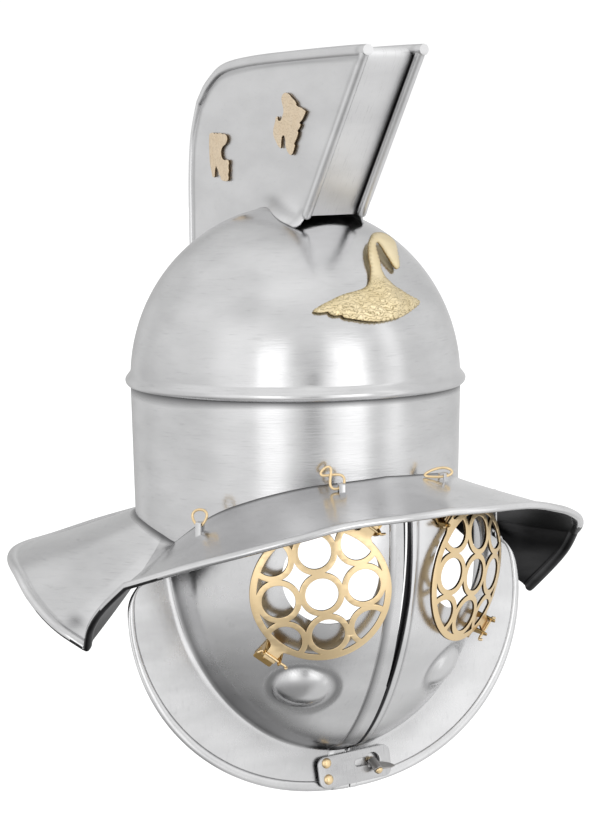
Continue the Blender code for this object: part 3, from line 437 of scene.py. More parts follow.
brightSteel = steelFinish("brushed_steel", steel)
guardSteel = steelFinish("guard_steel", {**steel, **guardWork})
paleSteel = steelKind("pale_guard_steel", grey(0.64), grey(0.74), **guardWork)
brimSteel = steelKind("brim_steel", grey(0.66), grey(0.80))
haspSteel = steelKind("hasp_steel", grey(0.44), grey(0.54), brushStretch=(14, 2, 1), roughness=0.28,
                      waveStretch=(1, 1, 1), scuffs=0.3)
crestSteel = steelKind("crest_steel", grey(0.68), grey(0.77), brushStretch=(1, 2, 6), roughness=0.34,
                       waveStretch=(1, 1, 1), waveStrength=0.35, scuffs=0.07)
stripSteel = steelKind("strip_steel", grey(0.76), grey(0.87), brushStretch=(14, 1, 1), roughness=0.44,
                       waveStretch=(1, 1, 1), waveStrength=0.4, scuffs=0.22)
shadedSteel = steelKind("shaded_steel", grey(0.02, 0.001), grey(0.10, 0.002), brushStretch=(1, 8, 8),
                        roughness=0.36)
keySteel = steelKind("key_steel", (0.24, 0.235, 0.23), (0.44, 0.43, 0.42), brushScale=220.0, roughness=0.33)
print("steel finishes are ready")


def brassFinish(name, settings):  # fine grain, hammer marks, and lines where the chased mask says so
    finish = Finish(name, settings)
    grain = finish.noise(settings["grainScale"], settings["grainStretch"], detail=4.0, rough=0.6)
    tone = finish.noise(settings["toneScale"], detail=3.0)
    marks = finish.noise(settings["markScale"], detail=2.0, rough=0.4)
    chased = finish.mask("chased")
    lines = finish.add("ShaderNodeTexWave", {"wave_type": "RINGS", "rings_direction": "SPHERICAL"}, {
        "Vector": finish.place((1, 1, 1)), "Scale": settings["lineScale"], "Distortion": 13.0, "Detail": 3.0,
        "Detail Scale": 1.8})
    cut = finish.ramp(lines, 0.0, 0.2, 1.0, 0.0) * chased
    clean = finish.blend(tone, finish.dark, finish.light)
    clean = finish.blend(cut * settings["lineTone"], clean, finish.shadeAndDirt)
    height = marks * (0.25 + 0.75 * chased) - cut * settings["lineDepth"]
    hammered = finish.bump(height, settings["markStrength"], settings["markDepth"])
    grainy = finish.bump(grain, 0.15, 0.0003, hammered)
    return finish.paint(clean, settings["roughness"] + (grain - 0.5) * 0.16, 0.1, grainy)


# the darkest colour paints shade where a piece's mask says so, and the chased lines
brass = {
    "dark": (0.80, 0.60, 0.34), "light": (0.93, 0.74, 0.46), "grime": (0.16, 0.10, 0.04), "roughness": 0.31,
    "grainScale": 160.0, "grainStretch": (1, 1, 5), "toneScale": 40.0, "markScale": 90.0, "markStrength": 0.10,
    "markDepth": 0.0006, "lineScale": 60.0, "lineTone": 0.0, "lineDepth": 0.0,
}


def brassKind(name, dark, light, **changes):
    return brassFinish(name, {**brass, "dark": dark, "light": light, **changes})


plainBrass = brassFinish("pale_brass", brass)
chasedBrass = brassKind("chased_brass", (0.76, 0.62, 0.35), (0.97, 0.85, 0.60), grime=(0.20, 0.14, 0.03),
                        roughness=0.34, toneScale=90.0, markScale=330.0, markStrength=0.6, markDepth=0.0016,
                        lineScale=190.0, lineTone=0.55, lineDepth=0.5)
creamBrass = brassKind("cream_brass", (0.80, 0.64, 0.45), (0.93, 0.79, 0.60), grime=(0.36, 0.24, 0.11),
                       roughness=0.38, toneScale=90.0, markScale=300.0, markStrength=0.5, markDepth=0.001,
                       lineScale=130.0, lineTone=0.22, lineDepth=0.3)
darkBrass = brassKind("shaded_brass", (0.42, 0.27, 0.10), (0.72, 0.50, 0.22))
# near-black brass for the cut edges: painted shade
shadedEdgeBrass = brassKind("shaded_edge_brass", (0.05, 0.032, 0.015), (0.16, 0.10, 0.045), roughness=0.45)
print("brass finishes are ready")


brim = {
    "fields": ("wallDeg", "wallZ", "edgeDeg", "edgeR", "edgeZ"),
    "front": ((0, -52, 0, 178, -64.5), (20, -54.4, 20, 182, -67.2), (32, -57.4, 31, 186.5, -74),
              (46, -64.2, 42, 187.3, -83.5), (61, -75.3, 53, 187.5, -94), (78.5, -95.7, 65, 189, -107)),
    "flap": ((78.5, -95.7, 65, 189, -107), (80.5, -94.8, 71, 187.8, -123.5), (82.5, -93.8, 76, 183, -138.5),
             (85, -92.5, 80.7, 174.5, -155)),
    "back": ((85, -92.5, 80.7, 174.5, -155), (88, -91.4, 84.5, 184, -145.5), (92, -90.1, 89.5, 187, -138),
             (98, -88.5, 96, 188.5, -128.5), (106, -87.4, 105, 189.5, -117), (122, -87, 122, 189, -114),
             (145, -87, 145, 185.5, -117), (163, -87, 163, 182, -113), (180, -87, 180, 180, -107)),
    # the flap's crease and the spot where its hem curls at the corner, where shade is painted
    "crease": ((-104.0, -21.0), (-156.0, -75.0)), "smudge": (-172.0, -16.5, -139.6),
    "dull": {"amount": 0.20, "turn": -42.0, "wide": 20.0, "less": 0.06, "over": 30.0},
    "paintedShades": {"wall": (0.92, 0.0, 1.8), "crease": (0.34, 0.0, 2.0), "smudge": (0.5, 0.0, 5.5)},
    "shade": {"down": -0.12, "flapZ": -125, "flapUp": 0.3, "deepZ": -100},
    "steps": 12, "flare": 0.86, "wallTaper": 0.022, "wallDark": 0.5, "rolled": 7.5,
    "outwardFrom": 0.9, "alongAt": 0.95, "rayFrom": -500, "rayMissed": -100.0,
    "reaches": (0.0, 0.015, 0.05, 0.1, 0.17, 0.25, 0.34, 0.43, 0.52, 0.61, 0.7, 0.78, 0.85, 0.91),
    "hem": ((8.0, 0.0), (6.5, 0.05), (6.0, 0.45), (5.3, 1.05), (4.3, 1.5), (3.1, 1.65), (1.9, 1.45), (0.9, 0.9),
            (0.25, 0.1), (0.0, -0.75), (0.25, -1.6), (0.9, -2.4), (1.9, -3.0), (3.1, -3.2), (4.3, -3.1),
            (5.3, -2.6), (6.0, -2.0), (6.5, -1.55), (8.0, -1.5)),
}
bowlRadius, domeTall = 107.3, 112.0


def brimStations():
    left = []
    for part in ("front", "flap", "back"):
        left += smoothLoop(brim[part], brim["steps"], closed=False)[:-1]
    left.append(np.array(brim["back"][-1], float))
    turned = [row * (-1, 1, -1, 1, 1) for row in left[-2::-1]]
    return [dict(zip(brim["fields"], row)) for row in left + turned]


def wallRadius(z):
    return bowlRadius + brim["wallTaper"] * min(z, 0.0)


def brimPoint(station, reach):
    wall = polar(wallRadius(station["wallZ"]), station["wallDeg"], station["wallZ"])
    edge = polar(station["edgeR"], station["edgeDeg"], station["edgeZ"])
    point = wall.lerp(edge, reach)
    point.z = mix(wall.z, edge.z, reach ** brim["flare"])
    return point


def brimRing(stations, i):  # points round the brim's section at a station: top, rolled edge, underside
    count = len(stations) - 1
    station, ahead, behind = stations[i % count], stations[(i + 1) % count], stations[i - 1 if i else count - 1]
    edge = brimPoint(station, 1.0)
    outward = (edge - brimPoint(station, brim["outwardFrom"])).normalized()
    along = (brimPoint(ahead, brim["alongAt"]) - brimPoint(behind, brim["alongAt"])).normalized()
    normal = outward.cross(along).normalized()
    normal *= 1.0 if normal.z > 0 else -1.0
    under = Vector((0, 0, -sheetThick))
    top = [brimPoint(station, r) for r in brim["reaches"]]
    ring = top + [edge - outward * back + normal * rise for back, rise in brim["hem"]]
    return ring + [p + under for p in top[::-1]]


def makeBrim():
    stations = brimStations()
    rings = [brimRing(stations, i) for i in range(len(stations))]
    size = len(rings[0])
    piece = gridPiece("brimSheet", len(stations) - 1, size, lambda i, j: rings[i][j % size])
    faceOutwards(piece)
    return piece, stations


brimSheet, stations = makeBrim()
brimHit = BVHTree.FromPolygons([vertex.co / mm for vertex in brimSheet.data.vertices],
                               [face.vertices[:] for face in brimSheet.data.polygons])


def underBrim(x, y):  # height of the brim's underside above a point, from the bead ring
    hit = brimHit.ray_cast(Vector((x, y, brim["rayFrom"])), Vector((0, 0, 1)))[0]
    return hit.z + crownDrop if hit else brim["rayMissed"]


def isShaded(face):  # the underside up to the rolled edge, and the inside of the flaps
    spot, normal, shade = toBench(face.center), face.normal, brim["shade"]
    inFlap = normal.x * spot.x < 0 and spot.z < shade["flapZ"] and normal.z < shade["flapUp"]
    return (normal.z < shade["down"] or inFlap) and (spot.z < shade["deepZ"] or all(
        (brimPoint(station, 1.0) - spot).length >= brim["rolled"] for station in stations[::2]))


def brimShadeAndGrime(x, y, z):  # painted shade by the wall, a painted shadow along the flap's crease and painted shade where its hem curls at the corner; darker and duller on the wearer's right
    dull, paintedShades, here = brim["dull"], brim["paintedShades"], Vector((x, y, 0.0))
    turn = math.degrees(math.atan2(x, -y)) - dull["turn"]
    dull = dull["amount"] * peak(turn, dull["wide"]) if turn > 0.0 else (
        dull["amount"] - dull["less"] * min(-turn / dull["over"], 1.0))
    start, end = (Vector((*spot, 0.0)) for spot in brim["crease"])
    share = clamp((here - start).dot(end - start) / (end - start).length_squared)
    crease = darkBand(paintedShades["crease"], (start.lerp(end, share) - here).length)
    smudge = darkBand(paintedShades["smudge"], (Vector((x, y, z)) - Vector(brim["smudge"])).length)
    wall = darkBand(paintedShades["wall"], max(here.length - wallRadius(z) - brim["wallDark"], 0.0))
    return max(wall, dull + smudge, dull + crease)


settle(brimSheet, "brim", "steel", brimSteel, grime=brimShadeAndGrime)
refinish(brimSheet, shadedSteel, isShaded)
print("brim is made")


bowl = {
    "domeRows": 56, "beadRows": 12, "wallRows": 14, "beadProud": 3.3, "beadTop": 6.5, "beadBottom": 3.7,
    "beadCurl": 0.7, "beadGap": 0.05, "tuck": 0.6, "line": (0.95, -4.0, 0.8),  # the painted shadow line under the bead
}


def domeRadius(z):
    return bowlRadius * math.sqrt(max(1.0 - (z / domeTall) ** 2, 0.0))


def bowlProfile():  # (radius, height) from the bead's foot up to the crown
    rows, beadRows = [], bowl["beadRows"]
    for k in range(beadRows + 1):  # underside of the bead, steep
        z = -bowl["beadBottom"] * (1 - k / beadRows) ** bowl["beadCurl"]
        swell = math.sqrt(max(1 - (z / bowl["beadBottom"]) ** 2, 0.0))
        rows.append((bowlRadius + bowl["beadProud"] * swell, z))
    for k in range(1, beadRows + 1):  # upper side, running out into the dome
        z = bowl["beadTop"] * k / beadRows
        rows.append((domeRadius(z) + bowl["beadProud"] * cosine(90 * k / beadRows) ** 2, z))
    start = math.degrees(math.asin(bowl["beadTop"] / domeTall))
    for k in range(1, bowl["domeRows"] + 1):
        z = domeTall * sine(mix(start, 90, k / bowl["domeRows"]))
        rows.append((domeRadius(z), z))
    return rows


def makeBowl():
    profile, wallRows = bowlProfile(), bowl["wallRows"]

    def place(i, j):
        turn, low = stations[i]["wallDeg"], stations[i]["wallZ"] - bowl["tuck"]
        if j < wallRows:
            z = mix(low, -bowl["beadBottom"] - bowl["beadGap"], j / (wallRows - 1))
            return polar(wallRadius(z), turn, z)
        radius, z = profile[j - wallRows]
        return polar(radius, turn, z)
    piece = gridPiece("bowlShell", len(stations) - 1, wallRows + len(profile) - 1, place)
    thicken(piece)
    return piece


# the bowl's mask paints a shadow line under the bead
settle(makeBowl(), "bowl", "steel", brightSteel, grime=lambda x, y, z: darkBand(bowl["line"], z))
print("bowl is made")


guard = {
    "flangeY": -45.6, "flangeZ": -159.0, "slope": 0.148,
    "bulgeTop": -60.0, "bulgeWidest": -105.0, "bulgeBottom": -236.0, "bulgeHalf": 117.5, "bulgeDepth": 98.5,
    "bulgePower": 1.76, "bulgeRound": 0.7, "filletStart": 0.935,
    "rimHalf": 149.0, "rimMid": -135.0, "rimDrop": 126.0, "rimPower": 2.1,
    "corner": ((148.6, -137.0), (147.0, -126.5), (141.5, -118.5), (133.0, -112.5)),
    "hemWidth": 6.5, "hem": ((0.03, 0.3), (0.1, 0.75), (0.28, 1.15), (0.5, 1.25), (0.7, 1.15), (0.86, 0.8),
                             (0.96, 0.3), (1.0, 0.0)),
    "seamTop": 1.3, "seamBottom": 0.5, "stripProud": 1.0, "strips": {1: 5.6, -1: 12.6},
    "seamLines": (0.0, 1.0, 2.0, 2.5, 3.0, 3.4), "stripLines": (-0.7, -0.25, 0.1, 0.6), "stepWide": 0.5,
    # painted shade: amount, where it is darkest and how wide, at the bulge's foot, on the flange, low on the
    # bulge, beside the strips and round the boss
    "paintedShades": {"foot": (0.5, 0.985, 0.014), "flange": (0.16, 1.0, 0.09), "low": (0.34, 0.96, 0.06),
               "strip": (0.5, 0.3, 0.5), "moat": (0.35, 1.16, 0.16)},
    "groove": {"top": 3.4, "bottom": 0.5, "deep": 2.8, "bend": 2.9, "bendFrom": -75.0, "bendTo": -185.0,
               "taperFrom": -125.0, "taperOver": 55.0, "knee": 3.0},
    "bulgeRows": 96, "filletRows": 7, "flangeRows": 9, "fanLines": 92, "cornerLines": 10,
    "boss": {"x": 54.0, "z": -182.6, "halfX": 18.0, "halfZ": 14.5, "proud": 4.0, "crown": 2.2, "lip": 0.6,
             "lipPower": 12, "moat": 0.42, "moatDeep": 1.2, "moatPower": 1.2, "moatBelly": 0.75, "reach": 40},
    "eye": {"centre": (48.5, -118.3, -108.5), "radius": 30.0, "turn": 26.0, "sides": 96, "deep": 60},
    "topGuess": -75.0, "cornerTopGuess": -95.0, "topTuck": 0.5, "tailFrom": 7, "tailSteps": 12,
    "lowFrom": -150.0, "lowOver": 40.0, "seamDark": 0.35, "seamSoft": 0.3, "backFacing": -0.25,
}


def flangeY(z):
    return guard["flangeY"] + guard["slope"] * (z - guard["flangeZ"])


def lowShare(z):  # 0 above the bulge's widest line, -1 at its foot
    return min(z - guard["bulgeWidest"], 0.0) / (guard["bulgeWidest"] - guard["bulgeBottom"])


def bulgeRatio(x, z):
    return math.hypot(x / guard["bulgeHalf"], lowShare(z))


def plainBulge(x, z):
    fall = (guard["bulgeTop"] - z) / (guard["bulgeTop"] - guard["bulgeBottom"])
    depth = guard["bulgeDepth"] * max(1.0 - max(fall, 0.0) ** guard["bulgePower"], 0.0) ** guard["bulgeRound"]
    half = guard["bulgeHalf"] * math.sqrt(max(1.0 - lowShare(z) ** 2, 1e-6))
    depth = max(depth, 0.01)
    radius = (depth ** 2 + half ** 2) / (2 * depth)
    return math.sqrt(max(radius ** 2 - x ** 2, 0.0)) - (radius - depth)


def bulge(x, z):
    start, ratio = guard["filletStart"], bulgeRatio(x, z)
    if ratio <= start:
        return plainBulge(x, z)
    if ratio >= 1.0:
        return 0.0
    shrink = start / ratio
    near = shrink * 0.99
    below = min(z - guard["bulgeWidest"], 0.0)
    above = z - below
    first = plainBulge(x * shrink, above + below * shrink)
    slope = (first - plainBulge(x * near, above + below * near)) / (0.01 * start)
    span = 1.0 - start
    t = (ratio - start) / span
    return first * (2 * t ** 3 - 3 * t ** 2 + 1) + slope * span * (t ** 3 - 2 * t ** 2 + t)


def guardPoint(x, z):
    return Vector((x, flangeY(z) - bulge(x, z), z))


def guardNormal(x, z, step=0.5):
    across = guardPoint(x + step, z) - guardPoint(x - step, z)
    up = guardPoint(x, z + step) - guardPoint(x, z - step)
    return across.cross(up).normalized()


boss = guard["boss"]
bossCentre, bossNormal = guardPoint(boss["x"], boss["z"]), guardNormal(boss["x"], boss["z"])
bossAcross = Vector((0, 0, 1)).cross(bossNormal).normalized() * -1.0
bossUp = bossNormal.cross(bossAcross)


def bossAway(point):  # 0 at the cheek boss's middle, 1 at its edge
    away = point - bossCentre
    return math.hypot(away.dot(bossAcross) / boss["halfX"], away.dot(bossUp) / boss["halfZ"])


def bossRise(point):  # height of the boss, or depth of the groove round it
    d, lip = bossAway(point), boss["lip"]
    if d < 1.0:
        return boss["proud"] * (1 - d ** boss["crown"]) - boss["moatDeep"] * lip * d ** boss["lipPower"]
    if d < 1.0 + boss["moat"]:
        t = (d - 1.0) / boss["moat"]
        belly = math.sin(math.pi * t) ** boss["moatPower"] * boss["moatBelly"]
        return -boss["moatDeep"] * (lip * (1 - t) ** 2 + belly)
    return 0.0


def rimPoint(turn):
    angle = math.radians(turn)
    power = 2.0 / guard["rimPower"]
    return np.array((guard["rimHalf"] * abs(math.cos(angle)) ** power,
                     guard["rimMid"] - guard["rimDrop"] * math.sin(angle) ** power))


# the rim's last degrees and its corner under the flap
tailFrom, tailSteps = guard["tailFrom"], guard["tailSteps"]
rimTail = smoothLoop([rimPoint(2 * tailFrom), rimPoint(tailFrom), *guard["corner"]], tailSteps,
                     closed=False)[tailSteps:]


def topOf(x, z=guard["topGuess"]):  # where the guard meets the brim, found in a few steps
    for _ in range(4):
        z = underBrim(x, guardPoint(x, z).y) + guard["topTuck"]
    return z


def ovalEnd(x, half, mid, drop, power):
    return mid - drop * max(1.0 - (x / half) ** power, 0.0) ** (1.0 / power)


# paths (x, z, proud) from the rim up to the brim, from the seam out to the corner under the flap
def guardLines(strip):
    drop = guard["bulgeWidest"] - guard["bulgeBottom"]
    start, cornerAt = guard["filletStart"], 2 * tailSteps
    ratios = [mix(start, 1.0, k / guard["filletRows"]) for k in range(guard["filletRows"] + 1)]
    lines = []
    for x in (*guard["seamLines"], 0.5 * strip + 1.2, *(strip + away for away in guard["stripLines"])):
        rings = [np.array((x, ovalEnd(x, guard["bulgeHalf"] * q, guard["bulgeWidest"], drop * q, 2.0)))
                 for q in ratios]
        rim = np.array((x, ovalEnd(x, guard["rimHalf"], guard["rimMid"], guard["rimDrop"], guard["rimPower"])))
        raised = guard["stripProud"] * clamp((strip + 0.1 - x) / guard["stepWide"])
        lines.append((x, topOf(x), rings, rim, raised))
    first = math.degrees(math.acos((strip + 0.6) / (start * guard["bulgeHalf"]))) - 1.0
    count = guard["fanLines"]
    for k in range(count + 1):
        turn = first * (1 - k / count)
        angle = math.radians(turn)
        x = mix(strip + 0.6, start * guard["bulgeHalf"], (0.92 * (k + 1) / (count + 1)) ** 0.92)
        rings = [np.array((guard["bulgeHalf"] * q * math.cos(angle),
                           guard["bulgeWidest"] - drop * q * math.sin(angle))) for q in ratios]
        rim = rimPoint(turn) if turn > tailFrom else rimTail[round((tailFrom - turn) / tailFrom * cornerAt)]
        lines.append((x, topOf(x), rings, rim, 0.0))
    lastX, lastRings, low = x, rings, guard["cornerTopGuess"]
    edge = [np.array((guard["bulgeHalf"] * q, topOf(guard["bulgeHalf"] * q, low))) for q in ratios]
    for k in range(1, guard["cornerLines"] + 1):
        share = k / guard["cornerLines"]
        x = mix(lastX, edge[0][0], share)
        rings = [mix(a, b, share) for a, b in zip(lastRings, edge)]
        top = topOf(x, low) if k < guard["cornerLines"] else edge[0][1]
        lines.append((x, top, rings, rimTail[cornerAt + round(share * (len(rimTail) - 1 - cornerAt))], 0.0))
    return lines


def grooveWidth(side, z):  # the groove by the seam, sunk and painted dark as shade, bends over to the wearer's right at its top
    groove = guard["groove"]
    length = groove["bendFrom"] - groove["bendTo"]
    bend = groove["bend"] * max(1.0 - max(groove["bendFrom"] - z, 0.0) / length, 0.0)
    width = mix(groove["top"], groove["bottom"], clamp((groove["taperFrom"] - z) / groove["taperOver"]))
    return max(width - bend, 0.0) if side > 0 else bend


def followGroove(x, edge, strip):  # slides the grid's lines near the seam onto the groove's edge
    knee, edge = guard["groove"]["knee"], edge + 0.5
    if x < knee:
        return x / knee * edge
    return mix(edge, strip - 1.0, (x - knee) / (strip - 1.0 - knee))


def guardPaths(side):
    strip, groove, flangeRows = guard["strips"][side], guard["groove"], guard["flangeRows"]
    paths = []
    for x, top, rings, rim, raised in guardLines(strip):
        top = np.array((x, max(top, rings[0][1])))
        path = [(mix(top, rings[0], k / guard["bulgeRows"]), 0.0) for k in range(guard["bulgeRows"])]
        path += [(ring, 0.0) for ring in rings]
        far = float(np.linalg.norm(rings[-1] - rim))
        crease = rim + (rings[-1] - rim) / max(far, 1.0) * min(guard["hemWidth"], 0.6 * far)
        path += [(mix(rings[-1], crease, (k + 1) / flangeRows), 0.0) for k in range(flangeRows)]
        path += [(mix(crease, rim, share), rise) for share, rise in guard["hem"]]
        points = []
        for (px, pz), rise in path[::-1]:
            gap = mix(guard["seamTop"], guard["seamBottom"], clamp((guard["bulgeTop"] - pz) / 200.0))
            shift = Vector((gap * max(1.0 - px / guard["bulgeHalf"], 0.0), 0.0, 0.0))
            sunk, edge = 0.0, grooveWidth(side, pz)
            if bulgeRatio(px, pz) < 1.0 and edge > 0.0:
                sunk = groove["deep"] * clamp((groove["knee"] - px) / guard["stepWide"])
            if px < strip - 1.0:
                px = followGroove(px, edge, strip)
            point, normal = guardPoint(px, pz), guardNormal(px, pz)
            points.append(point + normal * (rise + raised - sunk + bossRise(point)) + shift)
        paths.append(points)
    return paths


def makeGuard(name, side):
    paths = guardPaths(side)
    piece = gridPiece(name, len(paths) - 1, len(paths[0]) - 1,
                      lambda i, j: Vector((side * paths[i][j].x, paths[i][j].y, paths[i][j].z)), flip=side < 0)
    thicken(piece)
    eye = guard["eye"]
    (x, y, z), turn = eye["centre"], eye["turn"]
    clearSelection()
    bpy.ops.mesh.primitive_cylinder_add(vertices=eye["sides"], radius=eye["radius"] * mm,
                                        depth=eye["deep"] * mm, location=toWorld((side * x, y, z)))
    tool = bpy.context.object
    tool.rotation_mode = "QUATERNION"
    tool.rotation_quaternion = Vector((side * sine(turn), -cosine(turn), 0)).to_track_quat("Z", "Y")
    applyModifier(piece, "BOOLEAN", operation="DIFFERENCE", solver="EXACT", object=tool)
    bpy.data.objects.remove(tool)
    return piece


def guardPaintedShade(x, y, z):  # painted shade in the seam's groove, painted shadow lines beside the strips, painted shade at the bulge's foot and in the groove round the boss
    side, x = (1 if x > 0 else -1), abs(x)
    ratio, spot, paintedShades = bulgeRatio(x, z), Vector((x, y, z)), guard["paintedShades"]
    foot = darkBand(paintedShades["foot"], ratio)
    if ratio > 1.0:
        return max(foot, darkBand(paintedShades["flange"], ratio))
    if z < guard["lowFrom"]:
        foot = max(foot, darkBand(paintedShades["low"], ratio) * min((guard["lowFrom"] - z) / guard["lowOver"], 1.0))
    seamSide, edge = guard["seamTop"] * (side > 0), grooveWidth(side, z)
    line = darkBand(paintedShades["strip"], x - guard["strips"][side] - seamSide)
    seam = clamp((edge + guard["seamDark"] + seamSide - x) / guard["seamSoft"]) if edge > 0.0 else 0.0
    moat = darkBand(paintedShades["moat"], bossAway(spot)) if (spot - bossCentre).length < boss["reach"] else 0.0
    return max(foot, line, seam, moat)


def isFlangeBack(face):  # with the raw outer edge
    return face.normal.y > guard["backFacing"] and bulgeRatio(*toBench(face.center).xz) > 1.0


for side, word in halves:
    half = makeGuard("guard" + word, side)
    settle(half, "visor_" + word.lower(), "steel", paleSteel if side > 0 else guardSteel, grime=guardPaintedShade)
    refinish(half, shadedSteel, isFlangeBack)
print("face guard is made")


crest = {
    "backY": 131.0, "backX": 2.2, "frontX": 20.3, "frontLow": (-48.0, 108.0), "frontTop": (-116.0, 210.0),
    "bead": 2.9, "rimBead": 3.5, "recess": 5.0,
    "top": ((-119.0, 213.0), (-90.8, 212.4), (-32.0, 210.4), (36.0, 207.3), (77.0, 202.5), (100.4, 192.0),
            (113.0, 181.5)),
    "back": ((104.0, 57.5), (121.0, 59.5), (131.0, 70.0), (132.5, 100.0), (132.0, 132.0), (128.4, 154.0),
             (118.0, 175.8), (113.0, 181.5)),
    "footY": -27.0, "footSpread": {"front": 20.0, "rear": 29.0}, "footFlare": 9.8, "footRise": 17.0,
    "floor": (-41.5, 104.0), "corner": ((-45.8, 105.0), (-44.6, 102.3), (-43.2, 101.0)),
    "floorSteps": 40, "footInset": 2.0, "footGap": 0.3,
    "rear": {"from": 84, "over": 20, "high": 66.6, "low": 57.5},
    # painted shade beside the rim, behind the front bead, above the foot and beside the strip, and near-black
    # painted shade inside the front
    "lip": 0.85, "lipEnd": 45.0, "paintedShades": {
        "rim": (0.34, 7.7, 1.6), "front": (0.22, 5.0, 2.0), "foot": (0.30, 5.0, 3.0),
        "strip": (0.97, 0.0, 1.2)},
    "footShadeZone": {"below": 135, "front": -50, "rear": 40, "full": 5.0},
    "inner": {"gap": 0.3, "from": 1.5, "to": 8.0, "below": 208, "flare": 3.0, "dark": 0.9},
    "stripRises": (-0.01, 0.2, 0.4, 0.6, 0.8, 0.955),
    "stripBend": ((-108.0, 210.2), (-103.0, 211.0), (-92.0, 209.0)),
    "stripStops": (-60, -20, 20, 60, 74), "stripColumns": 48,
    "columns": 90, "rows": 60,
}


def domeHeight(x, y):
    return domeTall * math.sqrt(max(1.0 - (x * x + y * y) / bowlRadius ** 2, 0.0))


def crestFront(z):  # how far forward the front edge stands at a height
    (yLow, zLow), (yTop, zTop) = crest["frontLow"], crest["frontTop"]
    return mix(yLow, yTop, (z - zLow) / (zTop - zLow))


def crestX(y, z):
    t = (crest["backY"] - y) / (crest["backY"] - crestFront(z))
    return max(mix(crest["backX"], crest["frontX"], t), crest["backX"])


def crestFoot(y):
    spread = crest["footSpread"]["front" if y < crest["footY"] else "rear"]
    return crest["footFlare"] * peak(y - crest["footY"], spread)


def crestFlare(y, z):
    rise = max(z - domeHeight(crest["frontX"], y), 0.0) / crest["footRise"]
    return crestFoot(y) * max(1.0 - rise, 0.0) ** 2


def along(points, share):  # a point at a share of a polyline's length
    points = [np.array(p, float) for p in points]
    spans = [float(np.linalg.norm(b - a)) for a, b in zip(points, points[1:])]
    left = share * sum(spans)
    for a, b, span in zip(points, points[1:], spans):
        if left <= span:
            return mix(a, b, left / span if span else 0.0)
        left -= span
    return points[-1]


def crestEdges():
    floor, steps, rear = [*crest["corner"]], crest["floorSteps"], crest["rear"]
    for k in range(steps + 1):
        y = mix(*crest["floor"], k / steps)
        x = crestX(y, crest["frontLow"][1]) + crestFoot(y)
        low = domeHeight(x - crest["footInset"], y) + crest["footGap"] if y < rear["from"] else (
            mix(rear["high"], rear["low"], (y - rear["from"]) / rear["over"]))
        floor.append((y, low))
    top = smoothLoop(crest["top"], 6, closed=False)
    back = smoothLoop(crest["back"], 6, closed=False)
    back[0] = np.array(floor[-1])
    front = [np.array(floor[0]), np.array(crest["top"][0])]
    return floor, top, front, back


crestEdge = crestEdges()


# (y, z) inside the plate's outline, u from the front to the back and v from the dome to the top
def crestSpot(u, v):
    floor, top, front, back = crestEdge
    b, t, f, r = along(floor, u), along(top, u), along(front, v), along(back, v)
    corners = (mix(along(floor, 0), along(floor, 1), u), mix(along(top, 0), along(top, 1), u))
    return mix(b, t, v) + mix(f, r, u) - mix(corners[0], corners[1], v)


def crestSide(side, y, z, share=1.0):  # a point on the crest's side, with a share of the spread foot
    return Vector((side * (crestX(y, z) + share * crestFlare(y, z)), y, z))


def makeCrestPlate(name, side):
    columns, rows, rimBead = crest["columns"], crest["rows"], crest["rimBead"]
    plate = gridPiece(name, columns, rows, lambda i, j: crestSide(side, *crestSpot(i / columns, j / rows)),
                      flip=side < 0)
    thicken(plate, 0.0)
    edge = [*crestEdge[1][:-1], *crestEdge[3][:6:-1]]
    path, thin = [], []
    for k, (y, z) in enumerate(edge):
        heading = edge[min(k + 1, len(edge) - 1)] - edge[max(k - 1, 0)]
        radius = min(rimBead, crestX(y, z) - 0.3)
        ahead, rise = heading * radius * 0.95 / max(np.linalg.norm(heading), 1e-6)
        path.append(Vector((side * crestX(y, z), y + rise, z - ahead)))
        thin.append(radius / rimBead)
    rim = wirePiece(name + "Rim", path, rimBead, swell=thin)
    heights = [mix(crest["frontLow"][1], crest["frontTop"][1], 0.985 * k / 24) for k in range(25)]
    path = [crestSide(side, crestFront(z), z, 0.7) - Vector((0, 0.6, 0)) for z in heights]
    front = wirePiece(name + "Front", path, crest["bead"] * 1.05)
    path = [crestSide(side, y, z) for y, z in crestEdge[0] if y < crest["lipEnd"]]
    return joinPieces(name, [plate, rim, front, wirePiece(name + "Lip", path, crest["lip"])])


crestRim = np.array([*smoothLoop(crest["top"], 40, closed=False),
                     *smoothLoop(crest["back"], 40, closed=False)[80:]])
crestFloor = np.array(crestEdge[0])


def fromEdge(y, z, edge):
    return float(np.hypot(edge[:, 0] - y, edge[:, 1] - z).min())


def crestPaintedShade(x, y, z):  # painted shade beside the beads and above the spread foot, and near-black painted shade inside the front
    paintedShades, zone, inner = crest["paintedShades"], crest["footShadeZone"], crest["inner"]
    away = y - crestFront(z)
    rim, front, foot = darkBand(paintedShades["rim"], fromEdge(y, z, crestRim)), darkBand(paintedShades["front"], away), 0.0
    if z < zone["below"] and zone["front"] < y < zone["rear"]:
        foot = darkBand(paintedShades["foot"], fromEdge(y, z, crestFloor)) * min(crestFoot(y) / zone["full"], 1.0)
    isInner = (abs(x) < crestX(y, z) - inner["gap"] and inner["from"] < away < inner["to"]
               and z < inner["below"] and crestFlare(y, z) < inner["flare"])
    return max(rim, front, foot, inner["dark"] * isInner)


for side, word in halves:
    plate = makeCrestPlate("crestPlate" + word, side)
    settle(plate, "crest_plate_" + word.lower(), "steel", crestSteel, grime=crestPaintedShade)


